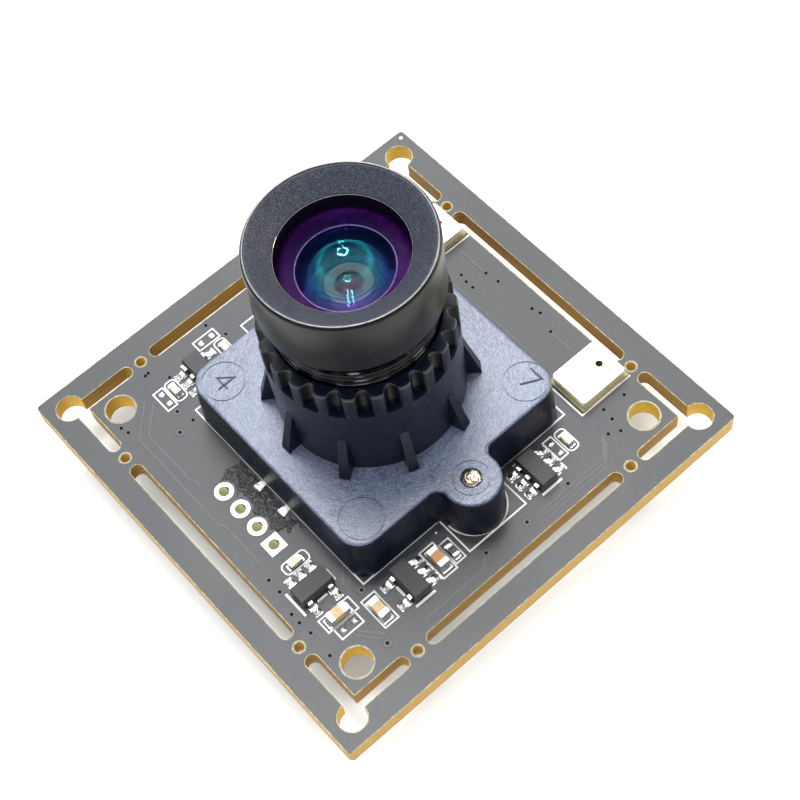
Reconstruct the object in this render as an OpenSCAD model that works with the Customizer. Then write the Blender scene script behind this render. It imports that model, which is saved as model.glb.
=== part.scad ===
// Board camera: square circuit board with a break-off border, a screwed-on
// lens holder and a screw-in M12 lens.
// +Z points along the lens axis, away from the board. The origin is the middle
// of the board on its underside.

/* [Board] */
// Outer side of the board, border included
board_side = 38; // [36:0.5:42]
// Board thickness
board_t = 1.6; // [1.0:0.1:2.0]
// Outer corner radius of the board
board_corner_r = 0.4; // [0.2:0.1:1.5]
// Distance from the middle to the centre line of the break-off slots
slot_line = 16.5; // [16.3:0.05:16.8]
// Width of the break-off slots
slot_w = 1.05; // [0.8:0.05:1.3]
// Half length of the long slot in the middle of each side
long_slot_half = 9.5; // [8:0.1:9.7]
// Distance from the middle to the tip of the short corner slots
short_slot_end = 11.45; // [11.3:0.05:12.5]
// Distance from the middle to the perforation holes
perforation_pos = 10.5; // [10.3:0.05:10.7]
// Diameter of the perforation holes
perforation_d = 0.75; // [0.5:0.05:0.9]
// Half spacing of the corner holes of the border
corner_hole_half = 17.05; // [16.8:0.05:17.2]
// Diameter of the corner holes
corner_hole_d = 2.2; // [2:0.1:2.4]
// Half spacing of the four mounting holes
mount_half = 14.2; // [13.8:0.05:14.3]
// Diameter of the mounting holes
mount_d = 2.3; // [2:0.1:2.5]
// Pitch of the four plated cable holes
cable_pitch = 2.0; // [1.9:0.05:2.1]
// Diameter of the plated cable holes
cable_hole_d = 0.9; // [0.7:0.05:1.1]
// Position of the row of cable holes along X
cable_row_x = -12.75; // [-13.2:0.05:-12.5]

/* [Lens holder] */
// Side of the square foot of the holder
foot_side = 19.9; // [19.6:0.05:20]
// Height of the foot
foot_h = 4.7; // [4.2:0.1:5.2]
// Corner radius of the foot
foot_r = 1.85; // [1.2:0.05:2.2]
// Wall of the foot around the sensor chamber
foot_wall = 1.8; // [1.4:0.1:2.0]
// Spacing of the two holder screws
ear_pitch = 22; // [21.8:0.1:22.2]
// Radius of the two screw ears
ear_r = 2.35; // [2.1:0.05:2.6]
// Outer radius of the threaded tube
tube_r = 7.1; // [6.9:0.05:7.3]
// Height of the tube above the board
tube_h = 14.5; // [13.5:0.1:15]
// Radius of the tube's bore
tube_bore_r = 6.0; // [5.98:0.01:6.02]
// Number of grip scallops around the top of the tube
scallops = 22; // [18:1:26]
// Depth of the scallops
scallop_depth = 0.58; // [0.3:0.02:0.7]
// Height of the scallops
scallop_h = 2.4; // [1.5:0.1:3]
// Number of stiffening ribs around the foot of the tube
ribs = 10; // [8:1:12]
// Thickness of a rib
rib_t = 0.75; // [0.5:0.05:1]
// Reach of a rib beyond the tube
rib_reach = 1.1; // [0.8:0.05:1.3]
// Height of a rib above the foot
rib_h = 4.1; // [3:0.1:5]

/* [Lens] */
// Height of the lens rim above the board
lens_top = 22.95; // [22:0.05:24]
// Height of the lens head's lower edge above the board
head_base = 17.5; // [17:0.1:18]
// Radius of the lens head
head_r = 6.66; // [6.5:0.02:6.9]
// Outer radius of the threaded barrel
barrel_r = 5.93; // [5.91:0.01:5.96]
// Height of the barrel's rear end above the board
barrel_rear = 7.4; // [7:0.1:8]
// Radius of the front opening
front_open_r = 4.6; // [4.4:0.05:4.7]
// Radius of the front glass
front_glass_r = 4.86; // [4.84:0.01:4.87]
// Radius of the rear glasses
rear_glass_r = 3.9; // [3.86:0.01:3.91]
// Radius of the aperture
aperture_r = 1.0; // [0.8:0.05:1.4]
// Height of the aperture stop above the board
stop_z = 18.05; // [18.05:0.05:18.3]
// Radius of the hollow behind the front glass
bowl_r = 3.45; // [3.3:0.05:3.6]

/* [Microphones] */
// Length of a microphone can
mic_l = 4.35; // [4:0.05:4.5]
// Width of a microphone can
mic_w = 3.5; // [3.2:0.05:3.6]
// Height of a microphone above the board
mic_h = 1.0; // [0.9:0.05:1.3]
// Radius of the sound port
mic_port_r = 0.3; // [0.2:0.05:0.4]

/* [Cable connector] */
// Width of the connector housing
conn_w = 8.0; // [7.6:0.1:8.4]
// Depth of the connector housing
conn_d = 4.2; // [4:0.1:4.5]
// Height of the connector housing
conn_h = 2.9; // [2.7:0.1:3.2]
// Pitch of the contacts
conn_pitch = 1.25; // [1.2:0.05:1.3]

/* [Hidden] */
$fn = 64;
zt = board_t;
e = 0.01;

// chip capacitors on the lens side: x, y, quarter turns, long body or short body
caps_cream = [[-12.55, -5.3, 0], [8.6, -11.7, 1], [-10.1, 12.45, 1], [-4.9, 12.65, 1]];
caps_tan = [[-12.93, -10.6, 0], [-10.5, -12.35, 1]];
caps_brown = [[-4.82, -12.35, 1]];
res_top = [[-3.62, -12.55, 1]];
// capacitors and resistors on the underside
caps_back = [[7.6, 7.2, 0], [7.6, 5.9, 0], [7.6, 4.6, 0], [-6.4, 9.6, 1], [-4.9, 9.6, 1],
             [4.4, -8.6, 0], [-5.2, -8.4, 0], [-12.8, 4.9, 1], [9.3, -5.6, 1], [10.6, -5.6, 1], [-2.2, -8.4, 0]];
res_back = [[7.4, -2.4, 1], [7.4, 0.2, 1], [7.4, 2.4, 1], [-8.2, -5.4, 1], [1.6, -8.5, 0], [10.4, 8.2, 1], [11.5, 8.2, 1], [12.6, 8.2, 1]];
// small-outline regulators: x, y, quarter turns, leads on the first side, on the second side
chips = [[-12.88, -7.77, 1, [0, 1, 2], [0, 2]],
         [-7.45, -12.3, 0, [0, 1, 2], [0, 2]],
         [5.15, -12.12, 0, [0, 1, 2], [0, 1, 2]],
         [-7.55, 12.25, 2, [0, 1, 2], [0, 2]]];
mics = [[13.45, -9.05], [13.45, 9.2]];
small = [1.0, 0.5, 0.5];
large = [1.6, 0.8, 0.8];
chipres = [1.0, 0.5, 0.35];
ind = [4.0, 4.0, 2.0];
inductors = [[-10.6, 9.9], [-10.6, -9.9]];

// --- plan shapes ---

module round_square(s, r) {
    union() {
        square([s - 2 * r, s], center = true);
        square([s, s - 2 * r], center = true);
        for (i = [-1, 1], j = [-1, 1]) translate([i * (s / 2 - r), j * (s / 2 - r)]) circle(r);
    }
}

module round_rect(w, d, r) {
    union() {
        square([w - 2 * r, d], center = true);
        square([w, d - 2 * r], center = true);
        for (i = [-1, 1], j = [-1, 1]) translate([i * (w / 2 - r), j * (d / 2 - r)]) circle(r, $fn = 32);
    }
}

module slot_x(x0, x1, w) {
    union() {
        translate([x0, -w / 2]) square([x1 - x0, w]);
        translate([x0, 0]) circle(w / 2, $fn = 32);
        translate([x1, 0]) circle(w / 2, $fn = 32);
    }
}

// --- circuit board ---

module circuit_board() {
    color("dimgray")
    difference() {
        linear_extrude(board_t) round_square(board_side, board_corner_r);
        for (q = [0:3]) rotate([0, 0, 90 * q]) {
            // long slot and its two perforation holes
            translate([0, slot_line, -1]) linear_extrude(board_t + 2)
                slot_x(-long_slot_half + slot_w / 2, long_slot_half - slot_w / 2, slot_w);
            for (s = [-1, 1]) translate([s * perforation_pos, slot_line, -1])
                cylinder(d = perforation_d, h = board_t + 2, $fn = 32);
            // corner slots running into the corner hole
            for (s = [-1, 1]) rotate([0, 0, s > 0 ? 0 : 90]) mirror([s > 0 ? 0 : 1, 0, 0])
                translate([0, slot_line, -1]) linear_extrude(board_t + 2)
                    slot_x(short_slot_end + slot_w / 2, slot_line, slot_w);
            translate([corner_hole_half, corner_hole_half, -1])
                cylinder(d = corner_hole_d, h = board_t + 2);
            translate([mount_half, mount_half, -1]) cylinder(d = mount_d, h = board_t + 2);
        }
        // plated cable holes
        for (k = [0:3]) translate([cable_row_x, -3.05 + k * cable_pitch, -1])
            cylinder(d = cable_hole_d, h = board_t + 2, $fn = 32);
        // clearance holes of the holder screws
        for (s = [-1, 1]) translate([0, s * ear_pitch / 2, -1]) cylinder(r = 1.0, h = board_t + 2, $fn = 48);
    }
}

// --- lens holder ---

module holder_plan() {
    union() {
        round_square(foot_side, foot_r);
        for (s = [-1, 1]) {
            translate([0, s * ear_pitch / 2]) circle(ear_r);
            translate([-ear_r, s > 0 ? foot_side / 2 - 1 : -ear_pitch / 2])
                square([2 * ear_r, ear_pitch / 2 - foot_side / 2 + 1]);
        }
    }
}

module rib() {
    translate([0, rib_t / 2, foot_h - e]) rotate([90, 0, 0]) linear_extrude(rib_t)
        polygon([[tube_r - 0.5, 0], [tube_r + rib_reach, 0], [tube_r + rib_reach - 0.05, 0.35],
                 [tube_r + 0.02, rib_h], [tube_r - 0.5, rib_h]]);
}

module lens_holder() {
    filt = 8.2;
    color([0.09, 0.1, 0.13])
    translate([0, 0, zt])
    difference() {
        union() {
            linear_extrude(foot_h) holder_plan();
            translate([0, 0, foot_h - e]) cylinder(r = tube_r, h = tube_h - foot_h + e, $fn = 128);
            for (k = [0:ribs - 1]) rotate([0, 0, 360 / ribs * k]) rib();
        }
        // threaded bore for the lens
        translate([0, 0, foot_h - 0.2]) cylinder(r = tube_bore_r, h = tube_h, $fn = 128);
        // sensor chamber, filter seat and light opening
        translate([0, 0, -1]) linear_extrude(1 + foot_h - 1.3) round_square(foot_side - 2 * foot_wall, 1);
        translate([-filt / 2, -filt / 2, foot_h - 1.3 - e]) cube([filt, filt, 0.5 + e]);
        translate([-3.4, -3.4, foot_h - 1]) cube([6.8, 6.8, 2]);
        // screw bores
        for (s = [-1, 1]) translate([0, s * ear_pitch / 2, -1]) cylinder(r = 0.8, h = foot_h + 2, $fn = 48);
        // grip scallops
        for (k = [0:scallops - 1]) rotate([0, 0, 360 / scallops * k + 4.56])
            translate([tube_r + 0.32, 0, tube_h - scallop_h])
                cylinder(r = 0.32 + scallop_depth, h = scallop_h + 1, $fn = 32);
    }
}

module holder_screw() {
    // pan head below the board, shank up through the ear, domed tip
    translate([0, 0, -1.0]) cylinder(r = 1.75, h = 1.0, $fn = 48);
    translate([0, 0, -e]) cylinder(r = 0.74, h = zt + foot_h - 0.12 + e, $fn = 48);
    translate([0, 0, zt + foot_h - 0.12 - e]) rotate_extrude($fn = 48)
        polygon([[0, 0], [0.74, 0], [0.68, 0.13], [0.48, 0.25], [0.25, 0.3], [0, 0.32]]);
}

module holder_screws() {
    color("silver")
    for (s = [-1, 1]) translate([0, s * ear_pitch / 2, 0])
        difference() {
            holder_screw();
            for (a = [0, 90]) rotate([0, 0, a]) translate([-0.85, -0.14, -1.1]) cube([1.7, 0.28, 0.6]);
        }
}

// --- sensor and filter ---

module image_sensor() {
    color([0.16, 0.17, 0.2]) translate([-4.3, -3.6, zt]) cube([8.6, 7.2, 0.45]);
}

module sensor_glass() {
    color([0.75, 0.82, 0.85, 0.5]) translate([-4.3, -3.6, zt + 0.45]) cube([8.6, 7.2, 0.4]);
}

module ir_filter() {
    color([0.55, 0.85, 0.8, 0.5]) translate([-4.0, -4.0, zt + foot_h - 1.3]) cube([8, 8, 0.5]);
}

// --- lens: profiles are radius, height above the board ---

module turned(points) {
    translate([0, 0, zt]) rotate_extrude($fn = 128) polygon(points);
}

module lens_barrel() {
    color([0.13, 0.13, 0.14])
    turned([
        [rear_glass_r + 0.02, barrel_rear], [barrel_r - 0.3, barrel_rear], [barrel_r, barrel_rear + 0.3],
        [barrel_r, head_base - 0.5], [barrel_r - 0.35, head_base - 0.35], [barrel_r - 0.35, head_base],
        [head_r - 0.12, head_base], [head_r, head_base + 0.12], [head_r, lens_top - 0.14],
        [head_r - 0.14, lens_top], [head_r - 0.24, lens_top], [head_r - 0.26, lens_top - 2.0],
        [front_glass_r + 0.02, lens_top - 2.0], [front_glass_r + 0.02, stop_z - 0.15],
        [3.4, stop_z - 0.15], [3.4, 17.4], [rear_glass_r + 0.02, 17.4]]);
}

module front_cap_ring() {
    r0 = head_r - 0.28;
    color([0.17, 0.17, 0.2])
    turned([
        [front_open_r, lens_top - 1.28], [front_open_r, lens_top - 1.65], [front_open_r + 0.3, lens_top - 2.0],
        [r0, lens_top - 2.0], [r0, lens_top - 0.1], [r0 - 0.05, lens_top - 0.06]]);
}

// points of a spherical cap surface, from the axis outwards
function cap_points(r, zc, sag, n) =
    let (R = (r * r + sag * sag) / (2 * abs(sag)), s = sign(sag))
    [for (i = [0:n]) let (x = r * i / n) [x, zc - s * (R - sqrt(R * R - x * x))]];

function reversed(v) = [for (i = [len(v) - 1:-1:0]) v[i]];

module front_element() {
    // domed front, deep hollow at the rear
    color([0.35, 0.2, 0.6, 0.4])
    turned(concat(
        cap_points(front_open_r, lens_top - 1.42, 0.5, 24),
        [[front_glass_r, lens_top - 2.0], [front_glass_r, 19.9]],
        reversed(cap_points(bowl_r, 20.8, 0.9, 20))));
}

module spacer_ring() {
    color([0.1, 0.1, 0.11])
    turned([[bowl_r, 19.7], [front_glass_r, 19.7], [front_glass_r, 19.9], [bowl_r, 19.9]]);
}

module second_element() {
    // dished front, flat rear
    color([0.3, 0.55, 0.7, 0.4])
    turned(concat(
        cap_points(bowl_r - 0.1, 19.05, -0.645, 20),
        [[front_glass_r, 19.7], [front_glass_r, stop_z], [0, stop_z]]));
}

module aperture_stop() {
    color([0.45, 0.47, 0.48])
    turned([[aperture_r, stop_z - 0.15], [front_glass_r, stop_z - 0.15], [front_glass_r, stop_z], [aperture_r, stop_z]]);
}

module third_element() {
    color([0.35, 0.6, 0.7, 0.4])
    turned(concat(
        cap_points(3.2, 17.8, 0.5, 20),
        [[3.3, 17.3], [3.3, 17.4], [rear_glass_r, 17.4], [rear_glass_r, 14.6], [3.0, 14.6]],
        reversed(cap_points(2.9, 14.0, -0.6, 20))));
}

module rear_spacer() {
    color([0.1, 0.1, 0.11])
    turned([[3.1, 13.0], [rear_glass_r, 13.0], [rear_glass_r, 14.6], [3.1, 14.6]]);
}

module rear_element() {
    color([0.35, 0.6, 0.7, 0.4])
    turned(concat(
        cap_points(3.0, 13.5, 0.5, 20),
        [[3.05, 12.9], [3.15, 13.0], [rear_glass_r, 13.0], [rear_glass_r, 9.4], [2.9, 9.4]],
        reversed(cap_points(2.8, 9.0, -0.4, 20))));
}

module rear_retaining_ring() {
    color([0.1, 0.1, 0.11])
    turned([[2.95, 8.1], [rear_glass_r, 8.1], [rear_glass_r, 9.4], [2.95, 9.4]]);
}

// --- microphones ---

module microphone_bases() {
    color([0.2, 0.24, 0.2])
    for (m = mics) translate([m[0] - 4.72 / 2, m[1] - 3.76 / 2, zt]) cube([4.72, 3.76, 0.25]);
}

module microphone_cans() {
    color([0.93, 0.88, 0.7])
    for (m = mics) translate([m[0], m[1], zt + 0.25]) difference() {
        linear_extrude(mic_h - 0.25) round_rect(mic_l, mic_w, 0.3);
        translate([0, 0, -1]) linear_extrude(1 + mic_h - 0.25 - 0.12) round_rect(mic_l - 0.24, mic_w - 0.24, 0.2);
        translate([1.1, 0, 0]) cylinder(r = mic_port_r, h = mic_h, $fn = 32);
    }
}

// --- small chips and chip parts ---

module sot_body() {
    translate([0, 1.45, 0]) rotate([90, 0, 0]) linear_extrude(2.9)
        polygon([[-0.78, 0.42], [-0.78, 0.6], [-0.7, 1.1], [0.7, 1.1], [0.78, 0.6], [0.78, 0.42], [0.72, 0.12], [-0.72, 0.12]]);
}

module sot_lead(w = 0.38) {
    translate([0, w / 2, 0]) rotate([90, 0, 0]) linear_extrude(w)
        polygon([[0.78, 0.44], [0.78, 0.58], [1.02, 0.58], [1.14, 0.14], [1.45, 0.14], [1.45, 0], [1.05, 0], [0.93, 0.44]]);
}

module regulator_chips() {
    color([0.25, 0.25, 0.27])
    for (c = chips) translate([c[0], c[1], zt]) rotate([0, 0, 90 * c[2]]) sot_body();
}

module regulator_leads() {
    color("gainsboro")
    for (c = chips) translate([c[0], c[1], zt]) rotate([0, 0, 90 * c[2]]) {
        for (k = c[3]) translate([0, (k - 1) * 0.95, 0]) sot_lead();
        for (k = c[4]) translate([0, (k - 1) * 0.95, 0]) mirror([1, 0, 0]) sot_lead();
    }
}

module chip_mid(s, t) {
    translate([-s[0] / 2 + t, -s[1] / 2, 0]) cube([s[0] - 2 * t, s[1], s[2]]);
}

module chip_ends(s, t) {
    for (i = [-1, 1]) translate([i * (s[0] - t) / 2 - t / 2, -s[1] / 2 - 0.01, 0]) cube([t, s[1] + 0.02, s[2] + 0.01]);
}

module placed(list, z) {
    for (c = list) translate([c[0], c[1], z]) rotate([0, 0, 90 * c[2]]) children();
}

module underneath(list) {
    for (c = list) translate([c[0], c[1], 0]) rotate([0, 0, 90 * c[2]]) mirror([0, 0, 1]) children();
}

module cream_capacitors() {
    color([0.93, 0.87, 0.68]) { placed(caps_cream, zt) chip_mid(small, 0.24); }
}

module tan_capacitors() {
    color([0.74, 0.66, 0.48]) {
        placed(caps_tan, zt) chip_mid(large, 0.4);
        underneath(caps_back) chip_mid(small, 0.24);
    }
}

module brown_capacitor() {
    color([0.72, 0.47, 0.25]) placed(caps_brown, zt) chip_mid(large, 0.4);
}

module capacitor_terminals() {
    color("whitesmoke") {
        placed(caps_cream, zt) chip_ends(small, 0.24);
        placed(caps_tan, zt) chip_ends(large, 0.4);
        placed(caps_brown, zt) chip_ends(large, 0.4);
        underneath(caps_back) chip_ends(small, 0.24);
    }
}

module resistors() {
    color([0.15, 0.15, 0.16]) {
        placed(res_top, zt) chip_mid(chipres, 0.22);
        underneath(res_back) chip_mid(chipres, 0.22);
    }
}

module resistor_terminals() {
    color("whitesmoke") {
        placed(res_top, zt) chip_ends(chipres, 0.22);
        underneath(res_back) chip_ends(chipres, 0.22);
    }
}

// --- underside ---

module image_processor() {
    color([0.2, 0.2, 0.22]) translate([-1, 0.5, -0.9]) linear_extrude(0.9) round_rect(11, 11, 0.2);
}

module memory_chip() {
    color([0.2, 0.2, 0.22])
    translate([9.6, -10.2, 0]) mirror([0, 0, 1]) translate([0, 2.45, 0]) rotate([90, 0, 0]) linear_extrude(4.9)
        polygon([[-1.95, 0.7], [-1.95, 0.9], [-1.8, 1.55], [1.8, 1.55], [1.95, 0.9], [1.95, 0.7], [1.85, 0.12], [-1.85, 0.12]]);
}

module memory_leads() {
    color("gainsboro")
    translate([9.6, -10.2, 0]) mirror([0, 0, 1]) for (k = [0:3], m = [0, 1]) mirror([m, 0, 0])
        translate([0, (k - 1.5) * 1.27 + 0.2, 0]) rotate([90, 0, 0]) linear_extrude(0.4)
            polygon([[1.95, 0.72], [1.95, 0.88], [2.3, 0.88], [2.48, 0.18], [3.0, 0.18], [3.0, 0], [2.36, 0], [2.2, 0.72]]);
}

module crystal_base() {
    color([0.35, 0.33, 0.3]) translate([-9.1, 2.2, -0.45]) linear_extrude(0.45) round_rect(2.5, 3.2, 0.15);
}

module crystal_lid() {
    color("silver") translate([-9.1, 2.2, -0.7]) linear_extrude(0.25) round_rect(2.1, 2.8, 0.3);
}

module power_inductors() {
    color([0.3, 0.3, 0.31])
    for (p = inductors) translate([p[0], p[1], -ind[2]]) linear_extrude(ind[2] - 0.12) round_rect(ind[0], ind[1], 0.35);
}

module inductor_terminals() {
    color("whitesmoke")
    for (p = inductors, s = [-1, 1]) translate([p[0] + s * 1.55 - 0.45, p[1] - 1.6, -0.12]) cube([0.9, 3.2, 0.12]);
}

conn_x = 16.0 - conn_d / 2;

module connector_housing() {
    color([0.9, 0.88, 0.8])
    translate([conn_x, 0, -conn_h]) difference() {
        translate([-conn_d / 2, -conn_w / 2, 0]) cube([conn_d, conn_w, conn_h]);
        translate([-conn_d / 2 + 0.9, -conn_w / 2 + 0.9, 0.5]) cube([conn_d, conn_w - 1.8, conn_h - 1.0]);
        // latch window in the lower wall and polarising grooves
        translate([-conn_d / 2 + 2.1, -1.6, -1]) cube([1.1, 3.2, 1.8]);
        for (s = [-1, 1]) translate([-conn_d / 2 + 0.9, s * (conn_w / 2 - 0.9) - 0.2, 1.1]) cube([conn_d, 0.4, 0.7]);
        // slots the contacts pass through
        for (k = [0:3]) translate([-conn_d / 2 - 1, (k - 1.5) * conn_pitch - 0.18, 1.25]) cube([3, 0.36, 0.36]);
    }
}

module connector_contacts() {
    color([0.85, 0.75, 0.45])
    for (k = [0:3]) translate([conn_x - conn_d / 2, (k - 1.5) * conn_pitch + 0.15, -conn_h]) rotate([90, 0, 0]) linear_extrude(0.3)
        polygon([[3.0, 1.28], [3.0, 1.58], [-0.25, 1.58], [-0.55, conn_h], [-1.1, conn_h], [-1.1, conn_h - 0.2], [-0.72, conn_h - 0.2], [-0.45, 1.28]]);
}

module connector_clips() {
    color("gainsboro")
    for (s = [-1, 1]) mirror([0, s > 0 ? 0 : 1, 0]) translate([conn_x + 0.3, conn_w / 2, 0]) {
        translate([-0.9, 0, -1.7]) cube([1.8, 0.2, 1.7]);
        translate([-0.9, 0, -0.2]) cube([1.8, 0.9, 0.2]);
    }
}

circuit_board();
lens_holder();
holder_screws();
image_sensor();
sensor_glass();
ir_filter();
lens_barrel();
front_cap_ring();
front_element();
spacer_ring();
second_element();
aperture_stop();
third_element();
rear_spacer();
rear_element();
rear_retaining_ring();
microphone_bases();
microphone_cans();
regulator_chips();
regulator_leads();
cream_capacitors();
tan_capacitors();
brown_capacitor();
capacitor_terminals();
resistors();
resistor_terminals();
image_processor();
memory_chip();
memory_leads();
crystal_base();
crystal_lid();
power_inductors();
inductor_terminals();
connector_housing();
connector_contacts();
connector_clips();
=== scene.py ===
import math
import random

import bmesh
import bpy
from mathutils import Matrix, Vector, noise


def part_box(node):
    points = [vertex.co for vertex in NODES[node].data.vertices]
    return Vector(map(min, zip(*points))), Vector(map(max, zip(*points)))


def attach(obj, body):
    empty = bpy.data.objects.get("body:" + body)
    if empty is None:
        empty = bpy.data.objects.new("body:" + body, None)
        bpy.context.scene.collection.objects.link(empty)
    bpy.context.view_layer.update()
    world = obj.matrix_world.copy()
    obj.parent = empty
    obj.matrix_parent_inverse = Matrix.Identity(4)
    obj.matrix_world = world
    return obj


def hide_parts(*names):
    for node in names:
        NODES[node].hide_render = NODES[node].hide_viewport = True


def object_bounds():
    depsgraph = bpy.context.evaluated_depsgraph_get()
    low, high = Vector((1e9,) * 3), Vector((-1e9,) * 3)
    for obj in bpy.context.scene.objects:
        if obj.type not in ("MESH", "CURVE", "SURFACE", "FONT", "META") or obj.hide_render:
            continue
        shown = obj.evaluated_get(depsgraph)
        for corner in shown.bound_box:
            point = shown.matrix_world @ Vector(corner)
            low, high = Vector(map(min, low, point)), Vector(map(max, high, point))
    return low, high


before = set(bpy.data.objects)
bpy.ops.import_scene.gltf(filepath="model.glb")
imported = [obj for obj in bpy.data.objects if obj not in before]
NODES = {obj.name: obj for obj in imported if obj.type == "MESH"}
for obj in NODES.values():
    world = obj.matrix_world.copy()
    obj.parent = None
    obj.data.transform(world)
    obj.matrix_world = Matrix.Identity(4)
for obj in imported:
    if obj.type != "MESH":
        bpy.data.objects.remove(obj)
cad_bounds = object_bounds()
MM = 0.001
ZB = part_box("circuit_board")[1].z / MM      # board top, mm above the underside
PI = math.pi
random.seed(7)

# ------------------------------------------------------------------ shader helpers


class Val:
    """A number in a node tree that can be computed with."""

    def __init__(self, m, sock):
        self.m, self.s = m, sock

    def _op(self, op, *others):
        n = self.m.nt.nodes.new("ShaderNodeMath")
        n.operation = op
        for i, o in enumerate((self,) + others):
            if isinstance(o, Val):
                self.m.nt.links.new(o.s, n.inputs[i])
            else:
                n.inputs[i].default_value = o
        return Val(self.m, n.outputs[0])

    def __add__(self, o): return self._op("ADD", o)
    def __sub__(self, o): return self._op("SUBTRACT", o)
    def __mul__(self, o): return self._op("MULTIPLY", o)
    def __truediv__(self, o): return self._op("DIVIDE", o)
    def abs(self): return self._op("ABSOLUTE")
    def sqrt(self): return self._op("SQRT")
    def min(self, o): return self._op("MINIMUM", o)
    def max(self, o): return self._op("MAXIMUM", o)
    def lt(self, o): return self._op("LESS_THAN", o)
    def gt(self, o): return self._op("GREATER_THAN", o)
    def sin(self): return self._op("SINE")
    def pow(self, o): return self._op("POWER", o)
    def atan2(self, o): return self._op("ARCTAN2", o)

    def ramp(self, a, b, lo=0.0, hi=1.0, smooth=True):
        n = self.m.nt.nodes.new("ShaderNodeMapRange")
        n.interpolation_type = "SMOOTHSTEP" if smooth else "LINEAR"
        n.inputs["From Min"].default_value = a
        n.inputs["From Max"].default_value = b
        n.inputs["To Min"].default_value = lo
        n.inputs["To Max"].default_value = hi
        self.m.nt.links.new(self.s, n.inputs["Value"])
        return Val(self.m, n.outputs["Result"])


class Mat:
    """A material with a principled shader and short calls for procedural detail. Coordinates are in mm."""

    def __init__(self, name, base, rough, metal=0.0, **sockets):
        self.mat = bpy.data.materials.new(name)
        self.mat.use_nodes = True
        self.nt = self.mat.node_tree
        self.p = self.nt.nodes["Principled BSDF"]
        self.base = tuple(base) + (1.0,) if len(base) == 3 else tuple(base)
        self.p.inputs["Base Color"].default_value = self.base
        self.p.inputs["Roughness"].default_value = rough
        self.p.inputs["Metallic"].default_value = metal
        self.mat.diffuse_color = self.base
        for k, v in sockets.items():
            self.p.inputs[k.replace("_", " ")].default_value = v
        self._co = None

    def co(self):
        if self._co is None:
            t = self.nt.nodes.new("ShaderNodeTexCoord")
            v = self.nt.nodes.new("ShaderNodeVectorMath")
            v.operation = "SCALE"
            v.inputs["Scale"].default_value = 1000.0
            self.nt.links.new(t.outputs["Object"], v.inputs[0])
            self._co = v.outputs[0]
        return self._co

    def xyz(self, sock=None):
        n = self.nt.nodes.new("ShaderNodeSeparateXYZ")
        self.nt.links.new(sock or self.co(), n.inputs[0])
        return [Val(self, n.outputs[i]) for i in range(3)]

    def normal(self):
        n = self.nt.nodes.new("ShaderNodeNewGeometry")
        return self.xyz(n.outputs["True Normal"])

    def scaled(self, sx, sy, sz, rot=(0, 0, 0)):
        n = self.nt.nodes.new("ShaderNodeMapping")
        n.inputs["Scale"].default_value = (sx, sy, sz)
        n.inputs["Rotation"].default_value = rot
        self.nt.links.new(self.co(), n.inputs[0])
        return n.outputs[0]

    def noise(self, scale, detail=3.0, rough=0.55, distort=0.0, vec=None):
        n = self.nt.nodes.new("ShaderNodeTexNoise")
        n.inputs["Scale"].default_value = scale
        n.inputs["Detail"].default_value = detail
        n.inputs["Roughness"].default_value = rough
        n.inputs["Distortion"].default_value = distort
        self.nt.links.new(vec or self.co(), n.inputs["Vector"])
        return Val(self, n.outputs["Fac"])

    def cells(self, scale, feature="F1", vec=None, rand=1.0):
        n = self.nt.nodes.new("ShaderNodeTexVoronoi")
        n.feature = feature
        n.inputs["Scale"].default_value = scale
        n.inputs["Randomness"].default_value = rand
        self.nt.links.new(vec or self.co(), n.inputs["Vector"])
        return Val(self, n.outputs["Distance"])

    def mix(self, fac, a, b):
        """Colour mix; a and b are colours or sockets."""
        n = self.nt.nodes.new("ShaderNodeMix")
        n.data_type = "RGBA"
        for key, v in (("A", a), ("B", b)):
            sock = [i for i in n.inputs if i.name == key and i.type == "RGBA"][0]
            if isinstance(v, (tuple, list)):
                sock.default_value = tuple(v) + (1.0,) if len(v) == 3 else tuple(v)
            else:
                self.nt.links.new(v, sock)
        f = [i for i in n.inputs if i.name == "Factor" and i.type == "VALUE"][0]
        if isinstance(fac, Val):
            self.nt.links.new(fac.s, f)
        else:
            f.default_value = fac
        return [o for o in n.outputs if o.type == "RGBA"][0]

    def gradient(self, val, stops):
        n = self.nt.nodes.new("ShaderNodeValToRGB")
        r = n.color_ramp
        r.interpolation = "LINEAR"
        r.elements[0].position, r.elements[0].color = stops[0][0], tuple(stops[0][1]) + (1.0,)
        r.elements[1].position, r.elements[1].color = stops[-1][0], tuple(stops[-1][1]) + (1.0,)
        for pos, col in stops[1:-1]:
            e = r.elements.new(pos)
            e.color = tuple(col) + (1.0,)
        self.nt.links.new(val.s, n.inputs[0])
        return n.outputs[0]

    def color(self, sock):
        self.nt.links.new(sock, self.p.inputs["Base Color"])
        return self

    def set(self, name, val):
        self.nt.links.new(val.s if isinstance(val, Val) else val, self.p.inputs[name])
        return self

    def bump(self, height, strength, distance_mm, socket="Normal"):
        n = self.nt.nodes.new("ShaderNodeBump")
        n.inputs["Strength"].default_value = strength
        n.inputs["Distance"].default_value = distance_mm * MM
        self.nt.links.new(height.s, n.inputs["Height"])
        self.nt.links.new(n.outputs[0], self.p.inputs[socket])
        return self


# ------------------------------------------------------------------ mesh helpers


def make(name, verts, faces, mat, body, slot=None, replaces=(), angle=35.0, mats=None, recalc=True):
    """Piece from vertices in mm, in the row frame."""
    me = bpy.data.meshes.new(name)
    me.from_pydata([tuple(c * MM for c in v) for v in verts], [], faces)
    me.update()
    o = bpy.data.objects.new(name, me)
    bpy.context.scene.collection.objects.link(o)
    finish_mesh(o, angle, recalc)
    if mat is not None:
        me.materials.append(mat.mat)
    if body:
        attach(o, body)
    if replaces:
        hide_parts(*replaces)
    return o


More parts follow.
